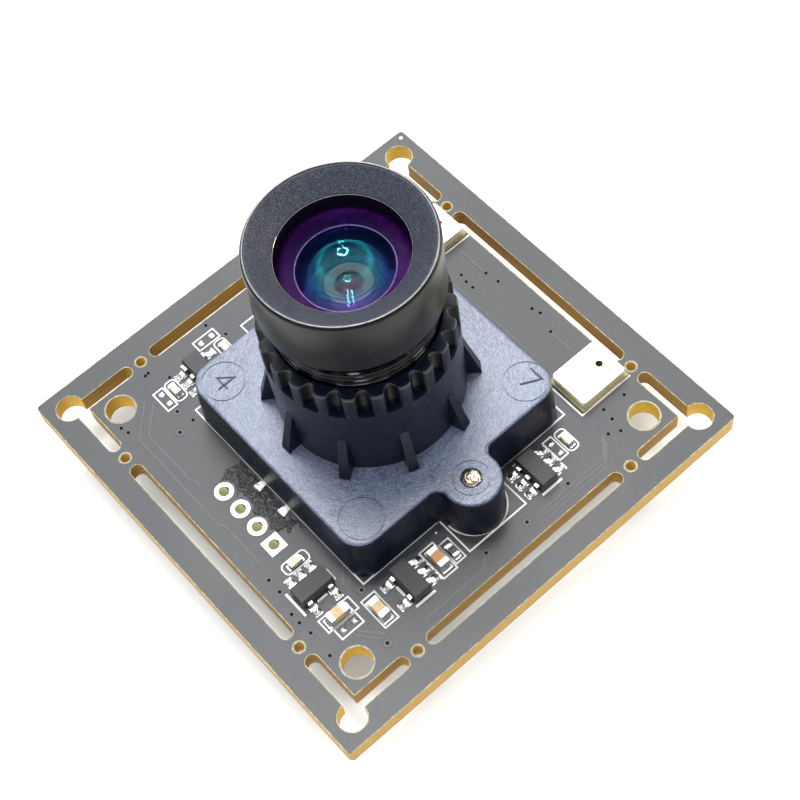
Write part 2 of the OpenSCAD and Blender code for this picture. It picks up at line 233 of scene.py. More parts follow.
def finish_mesh(o, angle=35.0, recalc=True):
    bm = bmesh.new()
    bm.from_mesh(o.data)
    if recalc:
        bmesh.ops.recalc_face_normals(bm, faces=bm.faces)
    lim = math.radians(angle)
    for f in bm.faces:
        f.smooth = True
    for e in bm.edges:
        e.smooth = len(e.link_faces) == 2 and e.calc_face_angle(0.0) < lim
    bm.to_mesh(o.data)
    bm.free()
    o.data.update()


class Build:
    """Collects closed solids into one mesh."""

    def __init__(self):
        self.v, self.f = [], []

    def add(self, verts, faces):
        n = len(self.v)
        self.v += [tuple(p) for p in verts]
        self.f += [tuple(i + n for i in f) for f in faces]

    def prism(self, poly, z0, z1, inset=0.0):
        """Closed prism of a polygon; inset pulls the top in, as a small chamfer."""
        n = len(poly)
        rings = [[(x, y, z0) for x, y in poly]]
        if inset:
            d = abs(inset)
            s = 1 if z1 > z0 else -1
            rings.append([(x, y, z1 - s * min(d, abs(z1 - z0) * 0.6)) for x, y in poly])
            rings.append([(x, y, z1) for x, y in shrink(poly, d)])
        else:
            rings.append([(x, y, z1) for x, y in poly])
        verts = [p for r in rings for p in r]
        faces = [tuple(range(n))[::-1]]
        for k in range(len(rings) - 1):
            for i in range(n):
                j = (i + 1) % n
                faces.append((k * n + i, k * n + j, (k + 1) * n + j, (k + 1) * n + i))
        b = (len(rings) - 1) * n
        faces.append(tuple(b + i for i in range(n)))
        self.add(verts, faces)

    def ring(self, outer, inner, z0, z1):
        """Closed flat ring between two outlines with equal point counts."""
        n = len(outer)
        verts = [(x, y, z) for z in (z0, z1) for pts in (outer, inner) for x, y in pts]
        o0, i0, o1, i1 = 0, n, 2 * n, 3 * n
        faces = []
        for a in range(n):
            b = (a + 1) % n
            faces += [(o0 + a, o0 + b, o1 + b, o1 + a), (i0 + b, i0 + a, i1 + a, i1 + b),
                      (o1 + a, o1 + b, i1 + b, i1 + a), (o0 + b, o0 + a, i0 + a, i0 + b)]
        self.add(verts, faces)

    def strip(self, pts, w, z0, z1, closed=False):
        """Line of width w along points."""
        n = len(pts)
        left, right = [], []
        for i in range(n):
            if closed:
                a, b = Vector(pts[(i - 1) % n]), Vector(pts[(i + 1) % n])
            else:
                a, b = Vector(pts[max(i - 1, 0)]), Vector(pts[min(i + 1, n - 1)])
            p = Vector(pts[i])
            d0 = (p - a).normalized() if (p - a).length > 1e-9 else (b - p).normalized()
            d1 = (b - p).normalized() if (b - p).length > 1e-9 else d0
            d = (d0 + d1).normalized()
            nrm = Vector((-d.y, d.x))
            k = 1.0 / max(0.5, nrm.dot(Vector((-d0.y, d0.x))))
            left.append(tuple(p + nrm * (w / 2 * k)))
            right.append(tuple(p - nrm * (w / 2 * k)))
        if closed:
            self.ring(right, left, z0, z1)
        else:
            self.prism(right + left[::-1], z0, z1)

    def lathe(self, profile, n=96, a0=0.0, centre=(0, 0)):
        """Closed solid of revolution of a closed profile of (r, z); points with r 0 are merged."""
        rows = []
        for r, z in profile:
            if r < 1e-6:
                rows.append([len(self.v)])
                self.v.append((centre[0], centre[1], z))
            else:
                rows.append(list(range(len(self.v), len(self.v) + n)))
                for k in range(n):
                    t = a0 + 2 * PI * k / n
                    self.v.append((centre[0] + r * math.cos(t), centre[1] + r * math.sin(t), z))
        m = len(rows)
        for i in range(m):
            a, b = rows[i], rows[(i + 1) % m]
            if len(a) == 1 and len(b) == 1:
                continue
            for k in range(n):
                j = (k + 1) % n
                if len(a) == 1:
                    self.f.append((a[0], b[j], b[k]))
                elif len(b) == 1:
                    self.f.append((a[k], a[j], b[0]))
                else:
                    self.f.append((a[k], a[j], b[j], b[k]))

    def box(self, x0, y0, z0, x1, y1, z1, c=0.0):
        self.prism([(x0, y0), (x1, y0), (x1, y1), (x0, y1)], z0, z1, c)

    def obj(self, name, mat, body, **kw):
        return make(name, self.v, self.f, mat, body, **kw)


def shrink(poly, d):
    """Polygon moved inwards by d (counterclockwise or clockwise, gentle corners)."""
    area = sum(poly[i][0] * poly[(i + 1) % len(poly)][1] - poly[(i + 1) % len(poly)][0] * poly[i][1] for i in range(len(poly)))
    s = 1.0 if area > 0 else -1.0
    out = []
    n = len(poly)
    for i in range(n):
        p0, p, p1 = Vector(poly[i - 1]), Vector(poly[i]), Vector(poly[(i + 1) % n])
        e0, e1 = (p - p0), (p1 - p)
        e0 = e0.normalized() if e0.length > 1e-9 else e1.normalized()
        e1 = e1.normalized() if e1.length > 1e-9 else e0
        n0, n1 = Vector((-e0.y, e0.x)) * s, Vector((-e1.y, e1.x)) * s
        m = (n0 + n1)
        m = m.normalized() if m.length > 1e-6 else n0
        k = 1.0 / max(0.4, m.dot(n0))
        out.append(tuple(p + m * (d * k)))
    return out


def arc(cx, cy, r, a0, a1, n):
    """Points of an arc, angles in degrees."""
    return [(cx + r * math.cos(math.radians(a0 + (a1 - a0) * i / n)), cy + r * math.sin(math.radians(a0 + (a1 - a0) * i / n))) for i in range(n + 1)]


def circle(cx, cy, r, n=32):
    return [(cx + r * math.cos(2 * PI * i / n), cy + r * math.sin(2 * PI * i / n)) for i in range(n)]


def rrect(x0, y0, x1, y1, r, n=6):
    """Rounded rectangle, counterclockwise."""
    r = max(r, 1e-3)
    return (arc(x1 - r, y1 - r, r, 0, 90, n) + arc(x0 + r, y1 - r, r, 90, 180, n)
            + arc(x0 + r, y0 + r, r, 180, 270, n) + arc(x1 - r, y0 + r, r, 270, 360, n))


def boolean(o, other, op):
    """Boolean with the result written into o; other is removed."""
    m = o.modifiers.new("b", "BOOLEAN")
    m.operation = op
    m.solver = "EXACT"
    m.object = other
    bpy.context.view_layer.update()
    dg = bpy.context.evaluated_depsgraph_get()
    me = bpy.data.meshes.new_from_object(o.evaluated_get(dg))
    o.modifiers.remove(m)
    old = o.data
    o.data = me
    bpy.data.meshes.remove(old)
    bpy.data.objects.remove(other)


def temp(build, name="t"):
    me = bpy.data.meshes.new(name)
    me.from_pydata([tuple(c * MM for c in v) for v in build.v], [], build.f)
    o = bpy.data.objects.new(name, me)
    bpy.context.scene.collection.objects.link(o)
    bm = bmesh.new()
    bm.from_mesh(me)
    bmesh.ops.recalc_face_normals(bm, faces=bm.faces)
    bm.to_mesh(me)
    bm.free()
    return o


def paint(node, mat, bevel=0.0, segs=2, angle=40.0, limit=30.0):
    """Gives a CAD node its material, and a small bevel as a modifier."""
    o = NODES[node]
    o.data.materials.clear()
    o.data.materials.append(mat.mat)
    for p in o.data.polygons:
        p.material_index = 0
    if bevel:
        m = o.modifiers.new("bevel", "BEVEL")
        m.width = bevel * MM
        m.segments = segs
        m.limit_method = "ANGLE"
        m.angle_limit = math.radians(limit)
        m.use_clamp_overlap = True
    return o


# ------------------------------------------------------------------ materials

def board_material():
    m = Mat("solder_mask", (0.06, 0.062, 0.066), 0.42)
    x, y, z = m.xyz()
    nz = m.normal()[2].abs()
    ax, ay = x.abs(), y.abs()
    a, b = ax.max(ay), ax.min(ay)
    da = a - 16.5

    def length(u, v):
        return (u * u + v * v).sqrt()

    d = length((b - (9.5 - 0.525)).max(0.0), da) - 0.525
    d = d.min(length((b * -1.0 + (11.45 + 0.525)).max(0.0), da) - 0.525)
    d = d.min(length(b - 17.05, a - 17.05) - 1.1)
    d = d.min(a * -1.0 + 19.0)
    holes = (length(b - 14.2, a - 14.2) - 1.15).min(length(b - 10.5, da) - 0.375)
    wob = m.noise(1.6, 3.0, 0.6) * 0.10 - 0.05
    rim = (d + wob).ramp(0.03, 0.075, 1.0, 0.0)
    dark_rim = (d + wob * 0.5).ramp(0.09, 0.16, 1.0, 0.0)
    ring = (holes + wob * 0.5).ramp(0.12, 0.17, 1.0, 0.0)
    # mask: fine mottling, slightly lighter where the copper lies under it
    fine = m.noise(9.0, 4.0, 0.7)
    broad = m.noise(0.16, 2.0, 0.5)
    mask = m.mix(fine.ramp(0.35, 0.7), (0.031, 0.033, 0.038), (0.050, 0.052, 0.058))
    mask = m.mix(broad.ramp(0.35, 0.65) * 0.6, mask, (0.046, 0.047, 0.050))
    bare = m.mix(m.noise(3.0, 3.0).ramp(0.3, 0.7), (0.20, 0.17, 0.08), (0.52, 0.47, 0.28))
    top = m.mix(dark_rim * 0.6, mask, (0.032, 0.031, 0.028))
    top = m.mix(rim, top, bare)
    top = m.mix(ring, top, m.mix(m.noise(4.0, 3.0).ramp(0.35, 0.65), (0.17, 0.16, 0.11), (0.34, 0.31, 0.20)))
    # cut edge: glass cloth and resin in thin layers
    lay = (z * 11.0 + m.noise(1.5, 2.0) * 2.0).sin().ramp(-1, 1)
    grain = m.noise(6.0, 4.0, 0.6, vec=m.scaled(1, 1, 5))
    edge = m.mix(lay, (0.36, 0.21, 0.030), (0.44, 0.28, 0.050))
    edge = m.mix(grain.ramp(0.3, 0.75) * 0.7, edge, (0.26, 0.13, 0.014))
    drilled = (length(b - 17.05, a - 17.05) - 1.1).min(holes).ramp(0.03, 0.06, 1.0, 0.0)
    edge = m.mix(drilled, edge, m.mix(grain.ramp(0.3, 0.7), (0.72, 0.50, 0.04), (0.50, 0.29, 0.02)))
    near_top = (z - ZB / 2).abs().ramp(ZB / 2 - 0.09, ZB / 2 - 0.03)
    edge = m.mix(near_top, edge, (0.16, 0.13, 0.07))
    is_top = nz.gt(0.7)
    m.color(m.mix(is_top, edge, top))
    rough = is_top * -0.22 + 0.62
    m.set("Roughness", rough)
    h = m.noise(22.0, 3.0, 0.6) * 0.4 + m.noise(3.0, 2.0) * 0.6
    m.bump(h, 0.25, 0.012)
    return m


TUBE_IN = 7.1


def plastic_holder(name, spec):
    m = Mat(name, (0.02, 0.023, 0.035), 0.36, Specular_IOR_Level=spec)
    x, y, z = m.xyz()
    rad = (x * x + y * y).sqrt().max(0.5)
    comb = m.nt.nodes.new("ShaderNodeCombineXYZ")
    warp = m.noise(0.35, 2.0, 0.5) * 2.2
    for i, v in enumerate((x / rad * 9.0, y / rad * 9.0, rad * 4.2 + warp)):
        m.nt.links.new(v.s, comb.inputs[i])
    # flow marks: fine fibres swirled round the tube, over a grain of bright flecks; on the upward faces their light
    # overall tone is painted light from above
    fibre = m.noise(1.0, 4.0, 0.68, 1.2, vec=comb.outputs[0])
    curl = m.noise(3.2, 4.0, 0.62, 3.2)
    grain = m.noise(11.0, 3.0, 0.72)
    cloud = m.noise(0.22, 2.0, 0.5)
    fleck = m.noise(5.2, 3.0, 0.6, 2.2)
    dbl = m.nt.nodes.new("ShaderNodeVectorMath")
    dbl.operation = "SCALE"
    dbl.inputs["Scale"].default_value = 1.9
    m.nt.links.new(comb.outputs[0], dbl.inputs[0])
    thin = m.noise(1.0, 3.0, 0.6, 1.6, vec=dbl.outputs[0])
    dust = m.noise(17.0, 2.0, 0.6)
    c = m.mix(cloud.ramp(0.35, 0.65), (0.040, 0.056, 0.106), (0.060, 0.080, 0.140))
    c = m.mix(fibre.ramp(0.42, 0.62) * 0.8, c, (0.100, 0.132, 0.220))
    c = m.mix(curl.ramp(0.48, 0.64) * 0.5, c, (0.125, 0.160, 0.255))
    c = m.mix(thin.ramp(0.50, 0.64) * 0.55, c, (0.21, 0.26, 0.38))
    c = m.mix(fleck.ramp(0.54, 0.66) * 0.45, c, (0.25, 0.305, 0.43))
    c = m.mix(grain.ramp(0.54, 0.68) * 0.65, c, (0.34, 0.395, 0.53))
    c = m.mix(dust.ramp(0.60, 0.72) * 0.6, c, (0.52, 0.58, 0.70))
    c = m.mix(thin.ramp(0.36, 0.46, 1.0, 0.0) * 0.45, c, (0.018, 0.026, 0.056))
    c = m.mix(grain.ramp(0.34, 0.44, 1.0, 0.0) * 0.55, c, (0.016, 0.023, 0.050))
    side = m.mix(m.noise(5.0, 4.0, 0.7).ramp(0.35, 0.7), (0.0026, 0.0038, 0.0105), (0.0060, 0.0084, 0.019))
    side = m.mix(grain.ramp(0.68, 0.78) * 0.3, side, (0.04, 0.046, 0.065))
    nz_ = m.normal()[2]
    # painted highlight: the upward-sloping faces at the top of the rim get a lighter colour
    rim_chamfer_highlight = nz_.ramp(0.12, 0.35) * nz_.ramp(0.80, 0.97, 1.0, 0.0) * z.ramp(ZB + 13.9, ZB + 14.2)
    side = m.mix(rim_chamfer_highlight * (curl * 0.6 + 0.45), side, (0.055, 0.062, 0.078))
    # painted shade: the walls inside the rim recesses are darkened almost to black
    recess_shade = rad.ramp(TUBE_IN - 0.16, TUBE_IN - 0.04, 1.0, 0.0) * z.ramp(ZB + 12.12, ZB + 12.2) * (nz_ * -1.0 + 1.0).ramp(0.3, 0.8)
    side = m.mix(recess_shade * 0.92, side, (0.0006, 0.0008, 0.0016))
    upz = m.normal()[2].ramp(0.45, 0.9)
    low = z.ramp(ZB + 4.9, ZB + 5.2, 1.0, 0.0)
    # upward faces take the light flow-mark colour, walls a near-black one: the marks and flecks are moulded texture,
    # the much lighter overall tone of the upward faces is painted light from above
    top = upz * low
    m.color(m.mix(top, side, c))
    m.set("Roughness", (grain * 0.26 + 0.18) * top + (top * -1.0 + 1.0) * (m.noise(1.2, 3.0) * 0.14 + 0.22))
    h = grain * 0.45 + fibre * 0.4 + curl * 0.3 + fleck * 0.6
    m.bump(h, 0.6, 0.03)
    return m


M_BOARD = board_material()
M_HOLDER = plastic_holder("holder_plastic", 0.22)
M_PLATE = plastic_holder("holder_plate_face", 0.95)

M_SILK = Mat("legend_ink", (0.78, 0.79, 0.78), 0.62)
M_SILK.color(M_SILK.mix(M_SILK.noise(14.0, 3.0, 0.7).ramp(0.35, 0.75), (0.66, 0.67, 0.66), (0.86, 0.87, 0.86)))
M_SILK.bump(M_SILK.noise(26.0, 3.0), 0.4, 0.01)

M_TRACE = Mat("mask_over_copper", (0.085, 0.087, 0.092), 0.36)
M_TRACE.color(M_TRACE.mix(M_TRACE.noise(9.0, 3.0).ramp(0.3, 0.7), (0.050, 0.052, 0.056), (0.064, 0.066, 0.071)))
M_TRACE.bump(M_TRACE.noise(18.0, 3.0), 0.3, 0.008)

M_VIA = Mat("tented_via", (0.004, 0.004, 0.005), 0.7, Specular_IOR_Level=0.05)
M_VIA.color(M_VIA.mix(M_VIA.noise(20.0, 2.0).ramp(0.4, 0.7), (0.002, 0.002, 0.003), (0.006, 0.006, 0.007)))


def tin(name, base=(0.80, 0.80, 0.79), rough=0.24, lump=0.03):
    m = Mat(name, base, rough, 1.0)
    n1 = m.noise(5.0, 4.0, 0.6, 0.6)
    n2 = m.noise(24.0, 3.0, 0.6)
    m.color(m.mix(n1.ramp(0.35, 0.7), tuple(c * 0.78 for c in base), base))
    m.set("Roughness", n2 * 0.22 + (rough - 0.06))
    m.bump(n1 * 0.8 + n2 * 0.25, 0.55, lump)
    return m


M_TIN = tin("tinned_pads")
M_SOLDER = tin("solder", (0.74, 0.75, 0.76), 0.16, 0.05)
M_TERM = tin("part_ends", (0.82, 0.82, 0.80), 0.30, 0.02)
M_LEAD = tin("chip_leads", (0.76, 0.76, 0.77), 0.22, 0.012)
M_STEEL = tin("screw_steel", (0.72, 0.70, 0.66), 0.20, 0.04)
M_STEEL.color(M_STEEL.mix(M_STEEL.noise(2.6, 3.0, 0.6, 1.0).ramp(0.42, 0.58), (0.72, 0.52, 0.26), (0.93, 0.90, 0.84)))
M_STEEL.set("Roughness", M_STEEL.noise(5.0, 3.0) * 0.16 + 0.06)
M_STEEL.bump(M_STEEL.noise(2.4, 3.0, 0.6, 1.2) + M_STEEL.noise(6.0, 2.0, 0.5) * 0.3, 0.8, 0.16)


def flat(name, c0, c1, rough, scale=12.0, bump=0.25, dist=0.01, metal=0.0, speck=None, **kw):
    m = Mat(name, c0, rough, metal, **kw)
    n = m.noise(scale, 4.0, 0.65)
    col = m.mix(n.ramp(0.32, 0.7), c0, c1)
    if speck:
        col = m.mix(m.noise(scale * 2.7, 2.0, 0.6).ramp(0.62, 0.72), col, speck)
    m.color(col)
    m.set("Roughness", m.noise(scale * 1.7, 2.0) * 0.14 + (rough - 0.07))
    m.bump(m.noise(scale * 2.0, 3.0, 0.7), bump, dist)
    return m


M_CHIP = flat("chip_epoxy", (0.030, 0.030, 0.033), (0.050, 0.050, 0.054), 0.55, 16.0, 0.5, 0.012, speck=(0.09, 0.09, 0.095))
M_CREAM = flat("ceramic_cream", (0.78, 0.66, 0.38), (0.88, 0.79, 0.54), 0.42, 8.0)
M_TAN = flat("ceramic_tan", (0.42, 0.30, 0.15), (0.58, 0.44, 0.25), 0.42, 8.0)
M_BROWN = flat("ceramic_brown", (0.46, 0.20, 0.05), (0.58, 0.29, 0.09), 0.40, 8.0)
M_RES = flat("resistor_coat", (0.012, 0.012, 0.014), (0.024, 0.024, 0.028), 0.28, 10.0)
M_FERRITE = flat("ferrite", (0.045, 0.045, 0.047), (0.075, 0.075, 0.077), 0.6, 10.0, 0.6, 0.02, speck=(0.12, 0.12, 0.12))
M_MICBASE = flat("microphone_laminate", (0.22, 0.20, 0.09), (0.32, 0.29, 0.15), 0.5, 10.0)
M_XBASE = flat("crystal_ceramic", (0.20, 0.18, 0.15), (0.26, 0.24, 0.21), 0.5, 10.0)
M_CONN = flat("connector_plastic", (0.72, 0.68, 0.55), (0.78, 0.74, 0.62), 0.42, 5.0, 0.3, 0.01)
M_GOLD = tin("contact_plate", (0.86, 0.68, 0.32), 0.22, 0.012)
M_MIC = Mat("microphone_plate", (0.95, 0.89, 0.68), 0.30, 0.85)
M_MIC.color(M_MIC.mix(M_MIC.noise(3.0, 4.0, 0.6).ramp(0.3, 0.7), (0.93, 0.86, 0.62), (0.97, 0.94, 0.80)))
M_MIC.set("Roughness", M_MIC.noise(11.0, 4.0, 0.7) * 0.14 + 0.24)
M_MIC.bump(M_MIC.noise(18.0, 3.0, 0.7), 0.35, 0.010)
M_XLID = tin("crystal_plate", (0.78, 0.75, 0.66), 0.28, 0.008)
M_HOLE = Mat("port_dark", (0.004, 0.004, 0.004), 0.7)
M_HOLE.bump(M_HOLE.noise(20.0, 2.0), 0.3, 0.01)


def anodised(name, base=(0.030, 0.030, 0.030), rough=0.34):
    m = Mat(name, base, rough, 0.0, Specular_IOR_Level=0.20)
    turn = m.noise(5.0, 3.0, 0.6, vec=m.scaled(0.12, 0.12, 9.0))
    fine = m.noise(20.0, 4.0, 0.75)
    cloud = m.noise(0.9, 3.0, 0.55)
    c = m.mix(cloud.ramp(0.3, 0.7), tuple(v * 0.8 for v in base), tuple(v * 1.35 for v in base))
    c = m.mix(fine.ramp(0.5, 0.72) * 0.5, c, tuple(min(1, v * 3.2) for v in base))
    m.color(c)
    m.set("Roughness", fine * 0.16 + (rough - 0.08) + turn * 0.05)
    m.bump(fine * 0.7 + turn * 0.3, 0.35, 0.012)
    return m


M_ANOD = anodised("lens_anodised", (0.0046, 0.0048, 0.0056), 0.27)
M_THREAD = Mat("lens_thread", (0.003, 0.003, 0.004), 0.10, 0.0, Specular_IOR_Level=0.10)
_x, _y, _z = M_THREAD.xyz()
# painted highlight: thin light lines along the thread crests, broken up by noise
_crest_glint = (_x * _x + _y * _y).sqrt().ramp(5.905, 5.925) * M_THREAD.noise(0.45, 2.0, 0.5).ramp(0.50, 0.60)
M_THREAD.color(M_THREAD.mix(_crest_glint, M_THREAD.mix(M_THREAD.noise(6.0, 3.0).ramp(0.35, 0.7), (0.0015, 0.0015, 0.0022), (0.004, 0.004, 0.0055)), (0.16, 0.16, 0.17)))
M_THREAD.bump(M_THREAD.noise(12.0, 3.0), 0.2, 0.01)


def speckled():
    m = Mat("lens_front_ring", (0.03, 0.03, 0.04), 0.5, 0.0, Specular_IOR_Level=0.35)
    g1 = m.noise(9.0, 4.0, 0.75)
    g2 = m.noise(24.0, 2.0, 0.6)
    g3 = m.noise(11.0, 3.0, 0.65)
    c = m.mix(g1.ramp(0.38, 0.66), (0.008, 0.010, 0.017), (0.038, 0.043, 0.062))
    c = m.mix(g3.ramp(0.56, 0.66) * 0.7, c, (0.12, 0.13, 0.17))
    c = m.mix(g2.ramp(0.60, 0.68) * 0.8, c, (0.24, 0.25, 0.31))
    dust = m.cells(1.6).ramp(0.0, 0.045, 1.0, 0.0)
    c = m.mix(dust, c, (0.75, 0.76, 0.78))
    m.color(c)
    m.set("Roughness", g1 * 0.2 + 0.38)
    m.bump(g1 * 0.7 + g2 * 0.4, 0.7, 0.035)
    return m


M_SPECK = speckled()
M_LBLACK = flat("lens_inner_black", (0.008, 0.008, 0.011), (0.016, 0.016, 0.021), 0.42, 8.0)
M_LIP = flat("lens_lip_black", (0.003, 0.003, 0.004), (0.007, 0.007, 0.009), 0.16, 8.0, 0.15, 0.006)
M_RIM = flat("lens_rim_edge", (0.16, 0.16, 0.17), (0.30, 0.30, 0.30), 0.30, 8.0, 0.3, 0.01, 0.6)

# ------------------------------------------------------------------ camera, light and floor

scene = bpy.context.scene
cam_data = bpy.data.cameras.new("camera")
cam = bpy.data.objects.new("camera", cam_data)
scene.collection.objects.link(cam)
X = Vector((0.74920773, -0.65535556, -0.09590033))
Y = Vector((0.60970841, 0.6258496, 0.4863825))
Z = Vector((-0.25873429, -0.42287276, 0.86846715))
loc = Vector((-32.2768, -56.2796, 114.8027 + ZB)) * MM
rot = Matrix((X, Y, Z)).transposed().to_4x4()
cam.matrix_world = Matrix.Translation(loc) @ rot
cam_data.sensor_width = 36.0
cam_data.lens = 77.974
cam_data.clip_start = 0.005
cam_data.clip_end = 10.0
scene.camera = cam

lo, hi = cad_bounds[0], cad_bounds[1]
floor_z = min(lo[2], hi[2])
fme = bpy.data.meshes.new("floor")
s = 3.0
fme.from_pydata([(-s, -s, floor_z), (s, -s, floor_z), (s, s, floor_z), (-s, s, floor_z)], [], [(0, 1, 2, 3)])
floor = bpy.data.objects.new("floor", fme)
scene.collection.objects.link(floor)
m_floor = Mat("floor_paper", (0.90, 0.90, 0.90), 0.85)
m_floor.color(m_floor.mix(m_floor.noise(0.05, 2.0).ramp(0.3, 0.7), (0.89, 0.89, 0.89), (0.92, 0.92, 0.92)))
m_floor.p.inputs["Emission Color"].default_value = (1.0, 0.97, 0.86, 1.0)
m_floor.p.inputs["Emission Strength"].default_value = 0.26
fme.materials.append(m_floor.mat)

world = bpy.data.worlds.new("studio")
scene.world = world
world.use_nodes = True
wt = world.node_tree
bg = wt.nodes["Background"]
tc = wt.nodes.new("ShaderNodeTexCoord")
nrm = wt.nodes.new("ShaderNodeVectorMath")
nrm.operation = "NORMALIZE"
wt.links.new(tc.outputs["Generated"], nrm.inputs[0])
sep = wt.nodes.new("ShaderNodeSeparateXYZ")
wt.links.new(nrm.outputs[0], sep.inputs[0])
rampn = wt.nodes.new("ShaderNodeValToRGB")
rampn.color_ramp.interpolation = "EASE"
rampn.color_ramp.elements[0].position = 0.0
rampn.color_ramp.elements[0].color = (0.20, 0.205, 0.22, 1)
rampn.color_ramp.elements[1].position = 1.0
rampn.color_ramp.elements[1].color = (0.50, 0.51, 0.53, 1)
e_ = rampn.color_ramp.elements.new(0.45)
e_.color = (0.22, 0.225, 0.24, 1)
wt.links.new(sep.outputs["Z"], rampn.inputs[0])
# one large round soft light above and behind, with soft edges
SOFT_DIR = Vector((0.315, 0.515, 0.797)).normalized()
dotn = wt.nodes.new("ShaderNodeVectorMath")
dotn.operation = "DOT_PRODUCT"
dotn.inputs[1].default_value = SOFT_DIR
wt.links.new(nrm.outputs[0], dotn.inputs[0])
edge_n = wt.nodes.new("ShaderNodeMapRange")
edge_n.interpolation_type = "SMOOTHSTEP"
edge_n.inputs["From Min"].default_value = math.cos(math.radians(33))
edge_n.inputs["From Max"].default_value = math.cos(math.radians(23))
edge_n.inputs["To Max"].default_value = 3.0
wt.links.new(dotn.outputs["Value"], edge_n.inputs["Value"])
addn = wt.nodes.new("ShaderNodeVectorMath")
addn.operation = "ADD"
wt.links.new(rampn.outputs[0], addn.inputs[0])
wt.links.new(edge_n.outputs["Result"], addn.inputs[1])
wt.links.new(addn.outputs[0], bg.inputs["Color"])
bg.inputs["Strength"].default_value = 1.0
scene.view_settings.view_transform = "Standard"


def area(name, pos, target, size, power, color=(1, 1, 1), size_y=None, glossy=True):
    d = bpy.data.lights.new(name, "AREA")
    d.energy = power
    d.color = color
    d.size = size
    if size_y:
        d.shape = "RECTANGLE"
        d.size_y = size_y
    o = bpy.data.objects.new(name, d)
    scene.collection.objects.link(o)
    o.location = pos
    o.rotation_euler = (Vector(target) - Vector(pos)).to_track_quat("-Z", "Y").to_euler()
    o.visible_glossy = glossy
    return o


area("key", (0.10, 0.22, 0.46), (0, 0, 0.0), 0.20, 2.1, glossy=False)
area("fill", (-0.35, -0.12, 0.36), (0, 0, 0.0), 0.26, 1.4, glossy=False)
area("front_fill", (0.26, -0.40, 0.24), (0.01, -0.02, 0.0), 0.30, 1.2, glossy=False)
for k, off in enumerate((-0.011, 0.011)):
    area("strip%d" % k, (0.2335 + off * 0.897, 0.3885 - off * 0.468, 0.272), (off * 0.9, 0, 0.02), 0.010, 0.32, size_y=0.23).visible_diffuse = False
area("warm", (0.40, -0.16, 0.12), (0, 0, 0.015), 0.07, 0.7, (1.0, 0.80, 0.42))


def ring_light(centre, radius, tube_r, strength):
    """A small ring lamp overhead; its picture is the round glint in the glass."""
    b = bmesh.new()
    nu, nv = 48, 8
    d = Vector(centre).normalized()
    e1 = d.orthogonal().normalized()
    e2 = d.cross(e1)
    vs = []
    for i in range(nu):
        t = 2 * PI * i / nu
        out = e1 * math.cos(t) + e2 * math.sin(t)
        for j in range(nv):
            p = 2 * PI * j / nv
            vs.append(b.verts.new(Vector(centre) + out * (radius + tube_r * math.cos(p)) + d * (tube_r * math.sin(p))))
    for i in range(nu):
        for j in range(nv):
            a_, b_ = (i + 1) % nu, (j + 1) % nv
            b.faces.new((vs[i * nv + j], vs[a_ * nv + j], vs[a_ * nv + b_], vs[i * nv + b_]))
    me = bpy.data.meshes.new("ring_lamp")
    b.to_mesh(me)
    b.free()
    m = bpy.data.materials.new("lamp_glow")
    m.use_nodes = True
    m.node_tree.nodes.clear()
    em = m.node_tree.nodes.new("ShaderNodeEmission")
    em.inputs["Strength"].default_value = strength
    out = m.node_tree.nodes.new("ShaderNodeOutputMaterial")
    m.node_tree.links.new(em.outputs[0], out.inputs[0])
    me.materials.append(m)
    o = bpy.data.objects.new("ring_lamp", me)
    scene.collection.objects.link(o)
    o.visible_diffuse = False


ring_light((0.042, 0.0835, 0.456), 0.028, 0.0065, 95.0)

# ------------------------------------------------------------------ board

paint("circuit_board", M_BOARD)
BODY, LENS = "module", "lens"

silk = Build()
SK0, SK1 = ZB - 0.01, ZB + 0.022


def sline(pts, w=0.13, closed=False):
    silk.strip(pts, w, SK0, SK1, closed)


def outline(x0, y0, x1, y1, r=0.0, w=0.12):
    h = w / 2
    if r:
        silk.ring(rrect(x0 - h, y0 - h, x1 + h, y1 + h, r + h), rrect(x0 + h, y0 + h, x1 - h, y1 - h, max(r - h, 0.02)), SK0, SK1)
    else:
        silk.ring([(x0 - h, y0 - h), (x1 + h, y0 - h), (x1 + h, y1 + h), (x0 - h, y1 + h)],
                  [(x0 + h, y0 + h), (x1 - h, y0 + h), (x1 - h, y1 - h), (x0 + h, y1 - h)], SK0, SK1)


outline(-10.0, -10.0, 10.0, 10.0, w=0.13)
# ear boxes and the arc beside the near ear
sline([(-2.7, -10.0), (-2.7, -13.4), (2.85, -13.4), (2.85, -10.0)])
sline([(-2.7, 10.0), (-2.7, 13.5), (2.85, 13.5), (2.85, 10.0)])
sline(arc(0.05, -10.8, 2.5, 180, 360, 28), 0.12)
sline(arc(0.05, 10.8, 2.5, 0, 180, 28), 0.12)
# small parts
outline(-13.6, -5.75, -11.4, -4.75, 0.35)
outline(-14.25, -11.15, -11.45, -9.95)
outline(-11.05, -13.65, -9.8, -10.95)
outline(-5.5, -13.7, -4.2, -11.0)
outline(8.15, -12.65, 9.1, -10.65, 0.35)
outline(-10.55, 11.45, -9.55, 13.5, 0.35)
outline(-5.4, 11.6, -4.4, 13.75, 0.35)
outline(-4.05, -13.45, -3.15, -11.5)
outline(-13.85, -12.2, -11.85, -11.2)
outline(7.1, -12.55, 7.95, -10.65)
outline(-11.6, 11.4, -10.7, 13.4)
outline(-6.5, 13.95, -4.5, 14.9)
